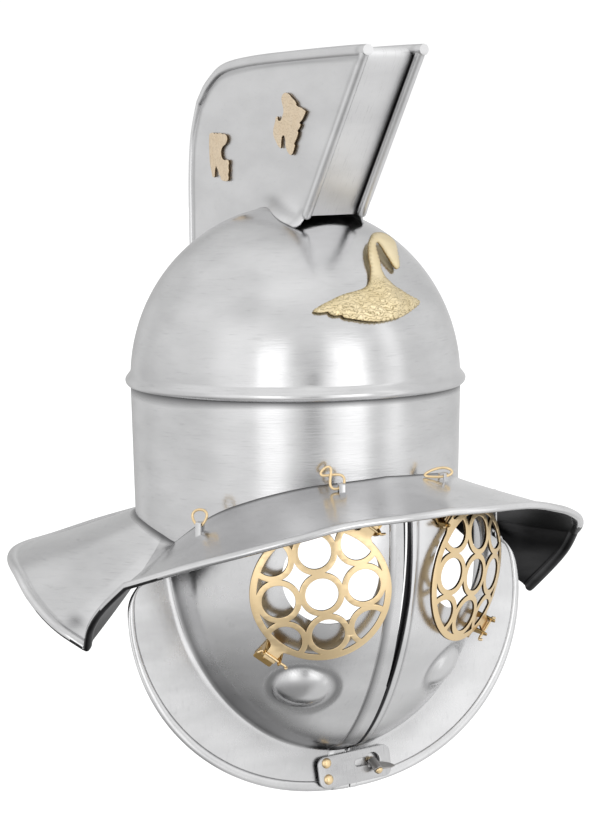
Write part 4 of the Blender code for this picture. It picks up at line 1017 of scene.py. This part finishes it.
def makeCrestStrip():
    (yLow, zLow), (yTop, zTop) = crest["frontLow"], crest["frontTop"]
    back = (zTop - zLow) / math.hypot(yTop - yLow, zTop - zLow) * crest["recess"]
    path = [(mix(yLow, yTop, t) + back, mix(zLow, zTop, t)) for t in crest["stripRises"]]
    path += [*crest["stripBend"], *((y, 206.0 - 3.0 * (y + 100.0) / 130.0) for y in crest["stripStops"])]
    path, columns = smoothLoop(path, 5, closed=False), crest["stripColumns"]

    def place(i, j):
        y, z = path[j]
        wide = crestX(y, z) - 0.9
        return Vector((mix(-wide, wide, i / columns), y, z))
    piece = gridPiece("crestStrip", columns, len(path) - 1, place, close=False)
    thicken(piece)
    return piece


def stripPaintedShade(x, y, z):  # a painted shadow line along the wearer's left edge, beside the bead
    return darkBand(crest["paintedShades"]["strip"], max(crestX(y, z) - 1.6 - x, 0.0)) if x > 0 else 0.0


settle(makeCrestStrip(), "crest_strip", "steel", stripSteel, grime=stripPaintedShade)
print("crest is made")


cutouts = {
    "thick": 1.4, "stand": 1.1,
    "winged": ((-13.5, 183), (-16.5, 184), (-20.5, 183.5), (-23, 182.5), (-26.5, 180.5), (-30, 179),
               (-32, 177.5), (-32.5, 176), (-35, 175.2), (-39.5, 174.5), (-43.5, 173.2), (-45.5, 172.5),
               (-44.5, 170.5), (-42.5, 168.5), (-41, 167), (-37.2, 165), (-39.2, 164.3), (-38, 162),
               (-34.8, 160), (-36.2, 159.2), (-35, 156.5), (-33, 154), (-30.8, 152), (-32.2, 151),
               (-31, 148.5), (-29.5, 146), (-27, 144.5), (-23.5, 145.5), (-21, 147.5), (-19, 150),
               (-18.5, 154), (-17, 156.5), (-15, 157), (-13, 155.5), (-12.5, 152.5), (-12.5, 148.5),
               (-10.5, 149), (-7.5, 150.5), (-5.5, 152.5), (-2.5, 155), (-1, 157.5), (-1, 160.5), (-2, 163),
               (-3.5, 166), (-4, 168), (-6.5, 169), (-7.3, 166.2), (-11, 166), (-13, 168.5), (-15, 171.5),
               (-14.5, 174), (-13, 176.5), (-11.5, 179.5), (-12, 181.5)),
    "legged": ((95.5, 156), (93, 156.7), (89, 157), (87.8, 156.2), (85, 157), (83.3, 156.2), (80.5, 156.8),
               (77, 156.8), (75.5, 156.2), (71, 156.3), (68.5, 155.3), (67.5, 153.5), (68, 151.5),
               (70, 149.5), (73.5, 148.3), (76, 146.5), (77.3, 144), (76.5, 141.5), (74.5, 139.7), (71, 139),
               (67.8, 139.6), (65.2, 139), (64.6, 137), (65.6, 134.5), (64.6, 132), (66, 129.3), (65, 127.8),
               (65.6, 125.5), (69, 125), (74, 125.2), (77, 126), (78, 128), (80.5, 129.2), (81, 131.5),
               (83, 132.8), (84.8, 134.8), (86, 133), (87, 131), (87, 127), (90.5, 127.2), (92, 130.5),
               (93.5, 133.5), (95, 138), (95.5, 143), (96, 150)),
}


def softCorners(points, share=0.28):  # rounds each corner of an outline a little
    out = []
    count = len(points)
    for i in range(count):
        before, here, after = (np.array(points[(i + k) % count], float) for k in (-1, 0, 1))
        a, b = mix(here, before, share), mix(here, after, share)
        for t in (0.0, 0.33, 0.67, 1.0):
            out.append(mix(mix(a, here, t), mix(here, b, t), t))
    return out


for kind in ("winged", "legged"):
    for side, word in halves:
        piece = platePiece(
            kind + "Cutout" + word, [softCorners(cutouts[kind])], cutouts["thick"],
            lambda y, z, w: Vector((side * (crestX(y, z) + cutouts["stand"] + w), y, z)), edge=0.3, step=4.0)
        settle(piece, f"{kind}_cutout_{word.lower()}", "brass", creamBrass, 50, chased=lambda x, y, z: 1.0)
        # the cut edges are painted near-black as shade
        refinish(piece, shadedEdgeBrass, lambda face: abs(face.normal.x) < edgeOn)
print("cut-outs are made")


swan = {
    "outline": ((42, 51.7), (37.5, 54.2), (33.5, 56), (27.5, 58.3), (23, 60), (17.5, 61.5), (12, 62.5),
                (7, 63.5), (3, 65), (0, 67.5), (-2.5, 71.5), (-4.5, 76), (-5.5, 81), (-7.5, 86),
                (-10.5, 90.5), (-14, 93.5), (-17.5, 95.5), (-21.5, 96), (-26, 95.5), (-30, 94), (-33, 92),
                (-34.5, 89.5), (-33.5, 86), (-31.5, 82), (-30, 77.5), (-28.5, 75), (-26, 73.7), (-24.2, 74),
                (-22.5, 77), (-21, 81), (-20, 84), (-19, 87.5), (-18, 89.5), (-16.3, 90), (-14.5, 88),
                (-13.5, 83.5), (-13, 79), (-12.2, 75), (-12.6, 71.5), (-14, 69), (-16, 66.5), (-18.5, 64),
                (-22, 62), (-26.5, 59), (-31.5, 56.5), (-37, 53.5), (-32.5, 51), (-26.5, 49), (-21, 47),
                (-16.5, 45.6), (-10, 44.8), (-3.5, 44), (4, 44), (10.5, 44.6), (17.5, 46), (23.5, 47),
                (25, 48.6), (29, 48.4), (32, 49.3), (33, 50.9), (36, 50.4), (39.5, 50.5)),
    "thick": 1.2, "stand": 1.0, "liftFrom": 60.0, "lift": 8.0, "relief": 2.5, "reliefWide": 9.0,
    "feather": 0.25, "breast": 2.4, "neckFrom": 68.0, "line": (0.55, 0.0, 0.9),
}
swanLoop = [Vector((*p, 0)) for p in smoothLoop(swan["outline"], 2)]


def swanEdge(u, v):  # how far a point is from the outline
    return min((Vector((u, v, 0)) - p).length for p in swanLoop)


def swanRelief(u, v):  # how far the swan bulges
    near = swanEdge(u, v)
    share, feathers = min(near / swan["reliefWide"], 1.0), 0.0
    if v < swan["neckFrom"]:
        rows = math.sin(1.5 * math.hypot(u + 14, 1.6 * (v - 66)) + 0.9 * math.sin(0.9 * u))
        feathers = swan["feather"] * rows * min(near / 3.0, 1.0)
    breast = swan["breast"] * peak(u + 13.0, 6.5) * peak(v - 57.0, 9.0) * share
    return swan["relief"] * math.sqrt(1 - (1 - share) ** 2) + breast + feathers


def swanPlace(u, v, w):
    lift = swan["lift"] * max((v - swan["liftFrom"]) / (domeTall - swan["liftFrom"] - 15.0), 0.0) ** 2
    rise = w + (swanRelief(u, v) if w > 0.1 else max(swanRelief(u, v) - 0.6, 0.0))
    radius = domeRadius(v) + swan["stand"] + lift
    return polar(radius + rise, -math.degrees(u / domeRadius(v)), v)


def swanEdgeLine(x, y, z):  # a brown line along the outline
    return darkBand(swan["line"], swanEdge(-math.atan2(x, -y) * domeRadius(min(z, 100.0)), z))


def isSwanSide(face):
    out = Vector((face.center.x, face.center.y, 0.6 * bowlRadius * mm)).normalized()
    return abs(face.normal.dot(out)) < edgeOn


swanPiece = platePiece("swanPlate", [[(p.x, p.y) for p in swanLoop]], swan["thick"], swanPlace, 0.3, 1.2)
settle(swanPiece, "swan", "brass", chasedBrass, 60, grime=swanEdgeLine,
       chased=lambda x, y, z: clamp((72.0 - z) / 5.0))  # the chaser leaves the neck smooth
refinish(swanPiece, darkBrass, isSwanSide)
print("swan is made")


grille = {
    "centre": (54.0, -114.7, -117.2), "turn": 25.0, "tilt": 5.7, "radius": 43.7, "dome": 6.0, "sheet": 1.6,
    "pitch": 26.6, "hole": 10.2, "ring": 13.9, "inner": 39.5, "patternTurn": -9.5,
    "tabAngle": -53.0, "tabWidth": 8.4, "tabReach": 9.8, "pinReach": 50.3,
}


def grilleAxes():
    turn, tilt = grille["turn"], grille["tilt"]
    out = Vector((sine(turn) * cosine(tilt), -cosine(turn) * cosine(tilt), -sine(tilt)))
    across = Vector((cosine(turn), sine(turn), 0.0))
    return across, out.cross(across), out


def grillePlace(u, v, w):
    across, up, out = grilleAxes()
    rise = grille["dome"] * max(1.0 - (u * u + v * v) / grille["radius"] ** 2, 0.0)
    return Vector(grille["centre"]) + u * across + v * up + (w + rise) * out


def arc(centre, radius, start, end, steps):
    turns = [mix(start, end, k / steps) for k in range(steps)]
    return [(centre[0] + radius * cosine(turn), centre[1] + radius * sine(turn)) for turn in turns]


def turned(points, degrees):
    c, s = cosine(degrees), sine(degrees)
    return [(u * c - v * s, u * s + v * c) for u, v in points]


def heading(point):
    return math.degrees(math.atan2(point[1], point[0]))


def rimCross(centre, radius):  # angles at a ring's centre where it meets the rim's inner edge
    away = math.hypot(*centre)
    half = math.degrees(math.acos((grille["inner"] ** 2 - away ** 2 - radius ** 2) / (2 * away * radius)))
    return heading(centre) + half, heading(centre) - half + 360.0


def grilleHoles():
    pitch, hole, ring, inner = grille["pitch"], grille["hole"], grille["ring"], grille["inner"]
    cusp = math.degrees(math.acos(0.5 * pitch / ring))
    holes = [arc((0, 0), hole, 0, 360, 48)]
    for quarter in (0, 90, 180, 270):
        holes.append(turned(arc((pitch, 0), hole, 0, 360, 48), quarter))
        start, end = rimCross((pitch, pitch), hole)
        corner = arc((pitch, pitch), hole, start, end, 30)
        last = arc((pitch, pitch), hole, end, end + 1, 1)[0]
        holes.append(turned(corner + arc((0, 0), inner, heading(last), heading(corner[0]), 12), quarter))
        diamond = []
        for k, centre in enumerate(((0, 0), (pitch, 0), (pitch, pitch), (0, pitch))):
            diamond += arc(centre, ring, 90 - cusp + 90 * k, cusp + 90 * k, 12)
        holes.append(turned(diamond, quarter))
        sideEnd, cornerEnd = rimCross((pitch, 0), ring)[0], rimCross((pitch, pitch), ring)[1] - 360
        wedge = arc((pitch, 0), ring, 90 - cusp, sideEnd, 8)
        far = arc((pitch, pitch), ring, cornerEnd, cusp - 90, 8)
        a, b = arc((pitch, 0), ring, sideEnd, sideEnd + 1, 1)[0], far[0]
        wedge += arc((0, 0), inner, heading(a), heading(b), 5) + far
        holes.append(turned(wedge, quarter))
        holes.append(turned([(u, -v) for u, v in wedge], quarter))
    return [turned(h, grille["patternTurn"]) for h in holes]


def grilleOutline():
    radius, wide, reach = grille["radius"], 0.5 * grille["tabWidth"], grille["tabReach"]
    half = math.degrees(math.asin(wide / radius))
    root = radius * cosine(half)
    edge = [(-root - 0.3, wide + 1.6), (-root - 1.0, wide + 0.5), (-root - 2.2, wide), (-root - reach, wide)]
    outline = []
    for side in (0, 180):
        outline += arc((0, 0), radius, side + half + 3.5, side + 180 - half - 3.5, 60)
        outline += turned(edge + [(u, -v) for u, v in edge[::-1]], side)
    return turned(outline, grille["tabAngle"])


for side, word in halves:
    place = grillePlace if side > 0 else mirrored(grillePlace)
    piece = platePiece("grille" + word, [grilleOutline()] + grilleHoles(), grille["sheet"], place, 0.22, 4.0)
    settle(piece, "grille_" + word.lower(), "brass", plainBrass)
    out = grilleAxes()[2] * Vector((side, 1, 1))
    # the cut edges are painted near-black as shade
    refinish(piece, shadedEdgeBrass, lambda face: abs(face.normal.dot(out)) < edgeOn)
print("grilles are made")


bracket = {"length": 15.0, "width": 13.0, "sheet": 1.2, "ear": 6.0, "pastPin": 3.0, "wire": 0.85, "gap": 0.3}


def footOn(point):
    x, z = point.x, point.z
    for _ in range(30):
        away = point - guardPoint(x, z)
        normal = guardNormal(x, z)
        slip = away - normal * away.dot(normal)
        x += 0.6 * slip.x
        z += 0.6 * slip.z
    return x, z


def bracketFrame(angle):
    across, up, out = grilleAxes()
    reach = cosine(angle) * across + sine(angle) * up
    rise = grille["sheet"] + bracket["wire"] + bracket["gap"]
    pin = Vector(grille["centre"]) + grille["pinReach"] * reach + rise * out
    x, z = footOn(pin)
    away = pin - guardPoint(x, z)
    side = out.cross(reach)
    lift = (away - side * away.dot(side)).normalized()
    height = away.dot(lift)
    return frameAt(pin - height * lift, side.cross(lift), side, lift), height


def makeBracket(name, place, height):  # a base plate with two ears that taper to rounded tops, and its rivet
    half, sheet, ear = 0.5 * bracket["width"], bracket["sheet"], 0.5 * bracket["ear"]
    low, top = bracket["gap"] + 0.3, height + bracket["pastPin"]
    long = bracket["length"] - ear
    outline = softCorners([(-ear, -half), (long, -half), (long, half), (-ear, half)], 0.08)
    base = platePiece(name + "Base", [outline], sheet, lambda u, v, w: place(u, v, low + w), 0.2)
    ears = []
    for lean in (-1, 1):
        narrow = mix(low, top, 0.75)
        outline = [(-ear, low), (ear, low), (0.55 * ear, narrow), (0.3 * ear, top), (-0.3 * ear, top),
                   (-0.6 * ear, narrow)]
        start = lean * half if lean < 0 else half - sheet
        ears.append(platePiece(name + "Ear", [softCorners(outline, 0.2)], sheet,
                               lambda u, v, w, start=start: place(u, start + w, v), 0.2))
    rivet = turnedPiece(name + "Rivet", [(0, 0), (1.5, 0), (1.4, 0.5), (1.0, 0.9), (0.5, 1.1), (0, 1.15)],
                        lambda u, v, w: place(u + 0.68 * long, v, low + sheet + w), 20)
    return joinPieces(name, [base, *ears, rivet])


for spot, angle in (("Lower", grille["tabAngle"]), ("Upper", grille["tabAngle"] + 180.0)):
    placeLeft, pinHeight = bracketFrame(angle)
    half = 0.5 * bracket["width"]
    pinPath = [(0, -half - 4.4, 1.6), (0, -half - 5.0, 0.2), (0, -half - 2.6, -0.2), (0, -half, 0),
               (0, half, 0), (0.6, half + 1.6, 0.3), (1.6, half + 2.6, 1.2)]
    for side, word in halves:
        place = placeLeft if side > 0 else mirrored(placeLeft)
        piece = makeBracket("bracket" + spot + word, place, pinHeight)
        faceOutwards(piece)
        settle(piece, f"bracket_{spot.lower()}_{word.lower()}", "brass", darkBrass)
        wire = smoothLoop([place(u, v, w + pinHeight) for u, v, w in pinPath], 6, closed=False)
        piece = wirePiece("splitPin" + spot + word, wire, bracket["wire"])
        settle(piece, f"split_pin_{spot.lower()}_{word.lower()}", "brass", plainBrass, 60)
print("brackets are made")


staple = {
    "radial": 5.4, "wide": 3.8, "sheet": 1.1, "wire": 0.85,
    "front": {"deg": 18.4, "r": 119.8, "top": -52.0, "low": -74.0},
    "side": {"deg": 59.0, "r": 128.8, "top": -75.6, "low": -99.0},
    "rings": {
        "frontLeft": {"along": 9.0, "across": 4.4, "shift": 1.7, "lean": 48.0, "tilt": 4.0, "taper": 0.5,
                      "yaw": 45.0},
        "frontRight": {"along": 4.2, "across": 7.8, "shift": -0.9, "lean": 24.0, "tilt": 42.0, "twist": 1.1,
                       "crossing": 0.62, "pear": -0.25},
        "sideLeft": {"along": 4.6, "across": 4.4, "shift": 0.0, "lean": 62.0, "tilt": 0.0},
        "sideRight": {"along": 4.9, "across": 5.0, "shift": 0.3, "lean": 14.0, "tilt": 6.0, "pear": 0.3},
    },
}


def ringPath(ring, top):  # a wire ring through a staple, from where its wire passes under the staple's top
    tilt, yaw, taper, pear = (ring.get(key, 0.0) for key in ("tilt", "yaw", "taper", "pear"))
    length = Vector((-sine(ring["lean"]), cosine(tilt) * cosine(ring["lean"]), sine(tilt)))
    across = Vector((-sine(yaw), -sine(tilt), cosine(tilt) * cosine(yaw)))
    path = []
    for k in range(48):
        turn = 2 * math.pi * k / 48
        share = (0.5 - 0.5 * math.cos(turn)) ** ring.get("crossing", 1.0)
        rise = 2.0 * ring["across"] * share * (1.0 - taper * 0.5 * (1.0 + math.sin(turn)))
        # a twisted ring is a figure of eight
        wide = ring["along"] * math.sin(2 * turn if "twist" in ring else turn) * (1.0 - pear * math.cos(turn))
        apart = ring.get("twist", 0.0) * staple["wire"] * math.sin(turn)
        path.append(Vector((apart, top, ring["shift"])) + length * rise + across * wide)
    return path


def stapleOutline(low):
    half, sheet = 0.5 * staple["radial"], staple["sheet"]
    inside = [(sheet - half, low), (sheet - half, -sheet), (half - sheet, -sheet), (half - sheet, low)]
    outside = [(half, low), (half, -1.1), (half - 0.35, -0.35), (half - 1.1, 0)]
    return [(-half, low)] + inside + outside + [(-u, v) for u, v in outside[:0:-1]]


for spot in ("front", "side"):
    where = staple[spot]
    for side, word in halves:
        outward = polar(1.0, side * where["deg"], 0.0)
        origin = polar(where["r"], side * where["deg"], where["top"])
        place = frameAt(origin, outward, (0, 0, 1), outward.cross(Vector((0, 0, 1))))
        outline = stapleOutline(where["low"] - where["top"])
        piece = platePiece(f"staple{spot.title()}{word}", [outline], staple["wide"],
                           lambda u, v, w: place(u, v, w - 0.5 * staple["wide"]), 0.2)
        settle(piece, f"staple_{spot}_{word.lower()}", "steel", brightSteel)
        ring, top = staple["rings"][spot + word], -staple["sheet"] - 0.6 - staple["wire"]
        path = [place(*point) for point in ringPath(ring, top)]
        piece = wirePiece(f"ring{spot.title()}{word}", path, staple["wire"], closed=True)
        settle(piece, f"staple_ring_{spot}_{word.lower()}", "brass", plainBrass, 60)
print("staples are made")


hasp = {
    "x": 4.2, "z": -247.8, "width": 55.0, "height": 20.5, "corner": 5.5, "stand": 2.4, "turn": 2.5,
    "rivets": {"upper": (-17.2, -242.6), "lower": (-16.6, -253.1)}, "rivetRadius": 3.4, "rivetTall": 2.0,
    "keyAt": (18.0, -245.8), "holeRadius": 5.3, "slot": 2.4, "slotLeft": 4.2,
}


def flangeFrame(x, z, stand):
    up = Vector((0.0, guard["slope"], 1.0)).normalized()
    across = Vector((1.0, 0.0, 0.0))
    out = across.cross(up)
    return frameAt(Vector((x, flangeY(z), z)) + out * stand, across, up, out)


def makeHasp():
    halfU, halfV, corner = 0.5 * hasp["width"], 0.5 * hasp["height"], hasp["corner"]
    outline = []
    for k, (su, sv) in enumerate(((1, 1), (-1, 1), (-1, -1), (1, -1))):
        outline += arc((su * (halfU - corner), sv * (halfV - corner)), corner, 90 * k, 90 * k + 96, 15)
    holeU, holeV = hasp["keyAt"][0] - hasp["x"], hasp["keyAt"][1] - hasp["z"]
    start = 180.0 - math.degrees(math.asin(hasp["slot"] / hasp["holeRadius"]))
    end = (hasp["slotLeft"] - hasp["x"] + hasp["slot"], holeV)
    hole = arc((holeU, holeV), hasp["holeRadius"], -start, start, 36)
    hole += arc(end, hasp["slot"], 90, 270, 12) + [(end[0], holeV - hasp["slot"])]
    return platePiece("haspPlate", [turned(outline, hasp["turn"]), hole], sheetThick,
                      flangeFrame(hasp["x"], hasp["z"], hasp["stand"]), 0.35)


settle(makeHasp(), "hasp", "steel", haspSteel)
for word, (x, z) in hasp["rivets"].items():
    radius, tall = hasp["rivetRadius"], hasp["rivetTall"]
    profile = [(0, 0), (radius, 0)] + [(radius * cosine(a), tall * sine(a) + 0.1) for a in range(0, 91, 9)]
    piece = turnedPiece("haspRivet" + word.title(), profile, flangeFrame(x, z, hasp["stand"] + sheetThick))
    settle(piece, "hasp_rivet_" + word, "brass", plainBrass, 50)

key = {
    "droop": 31.0, "start": -0.6, "length": 9.8, "bore": 1.9, "outer": 3.0, "reach": 13.5, "wingFrom": 3.6,
    "wingThick": 1.2, "shank": 1.5, "head": 2.5, "pinStart": -2.2,
}


def keyFrame():
    axis = Vector((0.0, -cosine(key["droop"]), -sine(key["droop"])))
    across = Vector((1.0, 0.0, 0.0))
    base = flangeFrame(*hasp["keyAt"], hasp["stand"] + 0.5 * sheetThick)(0, 0, 0)
    return frameAt(base, across, axis.cross(across), axis)


keyPlace, keyEnd = keyFrame(), key["start"] + key["length"]
bore, outer, keyStart, wingFrom = (key[name] for name in ("bore", "outer", "start", "wingFrom"))
barrel = turnedPiece("turnKey", [
    (bore, keyStart), (bore, keyEnd - 0.3), (bore + 0.25, keyEnd), (outer - 0.3, keyEnd), (outer, keyEnd - 0.3),
    (outer, keyStart + 0.2), (outer - 0.2, keyStart), (bore, keyStart)], keyPlace, 40)
wingOutline = smoothLoop([(outer - 0.7, wingFrom), (6.0, wingFrom - 0.1), (10.5, wingFrom + 0.9),
                          (key["reach"], wingFrom + 3.6), (10.8, keyEnd - 0.6), (6.0, keyEnd - 0.3),
                          (outer - 0.7, keyEnd - 0.5)], 5)


def wingPlace(u, v, w):  # the wing leaves the barrel high and dips to its tip
    t = max(u - key["outer"], 0.0) / (key["reach"] - key["outer"])
    return keyPlace(u, mix(0.9, -0.3, t ** 0.7) + (w - 0.5 * key["wingThick"]) * mix(1.0, 0.6, t), v)


wing = platePiece("keyWing", [wingOutline], key["wingThick"], wingPlace, 0.3, 2.0)
turnKey = joinPieces("turnKey", [barrel, wing])
faceOutwards(turnKey)
settle(turnKey, "turn_key", "dark_steel", keySteel, body="turn_key")
shank, head, pinTop = key["shank"], key["head"], keyEnd + 0.3
pinProfile = [(0, key["pinStart"]), (shank, key["pinStart"]), (shank, pinTop), (head, pinTop)]
pinProfile += [(head * cosine(a), keyEnd + 0.5 + 1.4 * sine(a)) for a in range(0, 91, 10)]
settle(turnedPiece("claspPin", pinProfile, keyPlace, 32), "clasp_pin", "brass", plainBrass)
print("clasp is made")


studio = {
    "floorDrop": 0.32, "floorSize": 24.0, "floorColor": (0.9, 0.9, 0.9, 1), "floorGlow": 0.35, "backdrop": 1.05,
    "ambient": 0.93,
    "boxes": (  # turn and rise from the camera, half width and half height, soft edge, brightness
        (-13.0, 0.0, 11.0, 26.0, 7.0, 0.46),
        (-40.0, 10.0, 18.0, 24.0, 12.0, 0.26),
        (37.0, 2.0, 14.0, 26.0, 6.0, 0.60),
        (12.5, -2.0, 4.0, 8.0, 4.0, -0.78),
        (73.0, 4.0, 7.0, 40.0, 6.0, 0.40),
        (-128.0, 0.0, 14.0, 60.0, 14.0, -0.16),
        (170.0, 0.0, 34.0, 50.0, 22.0, -0.18),
        (-160.0, 0.0, 14.0, 50.0, 14.0, -0.22),
        (-165.0, 62.0, 30.0, 14.0, 16.0, -0.20),
        (-110.0, 48.0, 55.0, 16.0, 14.0, 0.16),
        (30.0, 50.0, 70.0, 10.0, 12.0, 0.14),
        (-150.0, -64.0, 62.0, 22.0, 22.0, -0.86),
        (-30.0, -66.0, 66.0, 32.0, 20.0, -0.52),
        (130.0, -80.0, 80.0, 40.0, 25.0, -0.10),
    ),
    "lamps": (  # turn and rise from the camera, distance, width, height, power
        (-16.0, 8.0, 2.3, 0.7, 1.4, 1.5),
        (38.0, 8.0, 2.3, 0.7, 1.4, 1.3),
        (5.0, 74.0, 2.0, 1.6, 1.2, 0.7),
    ),
}
shot = {"azimuth": -31.80, "elevation": 7.49, "roll": -0.45, "distance": 1700.0, "aim": (0.0, -8.0, -25.8),
        "focal": 2615.0, "middle": (302.2, 417.3), "frame": (600, 840)}


def towards(azimuth, elevation):  # a direction by its angles from the front
    return Vector((sine(azimuth) * cosine(elevation), -cosine(azimuth) * cosine(elevation), sine(elevation)))


def makeCamera():
    roll, back = shot["roll"], towards(shot["azimuth"], shot["elevation"])
    right = Vector((cosine(shot["azimuth"]), sine(shot["azimuth"]), 0.0))
    up = back.cross(right)
    across, over = right * cosine(roll) + up * sine(roll), up * cosine(roll) - right * sine(roll)
    place = Matrix((across, over, back)).transposed().to_4x4()
    place.translation = toWorld(Vector(shot["aim"]) + back * shot["distance"])
    data = bpy.data.cameras.new("shot")
    camera = newObject("shot", data)
    camera.matrix_world = place
    wide, tall = shot["frame"]
    data.sensor_fit, data.sensor_height, data.sensor_width = "VERTICAL", 36.0, 36.0
    data.lens = shot["focal"] / tall * 36.0
    data.shift_x = -(shot["middle"][0] - 0.5 * wide) / tall
    data.shift_y = (shot["middle"][1] - 0.5 * tall) / tall
    data.clip_start = 0.01
    bpy.context.scene.camera = camera


def makeFloor():
    clearSelection()
    low = cadBox[0].z - studio["floorDrop"]
    bpy.ops.mesh.primitive_grid_add(x_subdivisions=2, y_subdivisions=2, size=studio["floorSize"],
                                    location=(0, 0, low))
    floor = bpy.context.object
    floor.name = "studioFloor"
    paint = bpy.data.materials.new("floor_paint")
    paint.use_nodes = True
    shader = paint.node_tree.nodes["Principled BSDF"]
    shader.inputs["Base Color"].default_value = studio["floorColor"]
    shader.inputs["Roughness"].default_value = 0.9
    shader.inputs["Emission Color"].default_value = (1, 1, 1, 1)
    shader.inputs["Emission Strength"].default_value = studio["floorGlow"]
    floor.data.materials.append(paint)
    floor.visible_glossy = False  # the steel mirrors the soft light below instead


def makeLights():
    world = bpy.data.worlds.new("studio")
    bpy.context.scene.world = world
    world.use_nodes = True
    sky = Network(world.node_tree)
    direction = sky.add("ShaderNodeTexCoord", output="Generated")
    x, y, z = (sky.add("ShaderNodeSeparateXYZ", sockets={0: direction}, output=k) for k in range(3))
    right, front = cosine(shot["azimuth"]), sine(shot["azimuth"])
    sideways, ahead = x * right + y * front, x * front - y * right
    turn = x.math("ARCTAN2", sideways, ahead)
    rise = x.math("ARCSINE", z, 0.0)
    light = sky.hill(rise, 0.0, 4.0, 0.1) * studio["ambient"]
    for middle, height, wide, tall, soft, level in studio["boxes"]:
        middle, height, wide, tall, soft = (math.radians(v) for v in (middle, height, wide, tall, soft))
        across = sky.hill(turn, middle, wide, soft)
        if abs(middle) + wide + soft > math.pi:  # a patch behind the helmet lies on both ends of the turn
            across = across + sky.hill(turn, middle - math.copysign(2.0 * math.pi, middle), wide, soft)
        light = light + across * sky.hill(rise, height, tall, soft) * level
    seen = sky.add("ShaderNodeLightPath", output="Is Camera Ray")
    light = light + seen * (studio["backdrop"] - light)
    background = world.node_tree.nodes["Background"]
    background.inputs["Color"].default_value = (1, 1, 1, 1)
    sky.feed(background.inputs["Strength"], light)
    middle = toWorld((0, 0, -30))
    for k, (turn, rise, away, wide, tall, power) in enumerate(studio["lamps"]):
        back = towards(shot["azimuth"] + turn, rise)
        data = bpy.data.lights.new(f"softbox{k}", "AREA")
        data.shape, data.size, data.size_y, data.energy = "RECTANGLE", wide, tall, power
        lamp = newObject(f"softbox{k}", data)
        lamp.location = middle + back * away
        lamp.rotation_mode = "QUATERNION"
        lamp.rotation_quaternion = back.to_track_quat("Z", "Y")
        lamp.visible_camera = False


makeCamera()
makeFloor()
makeLights()
print("studio is set")
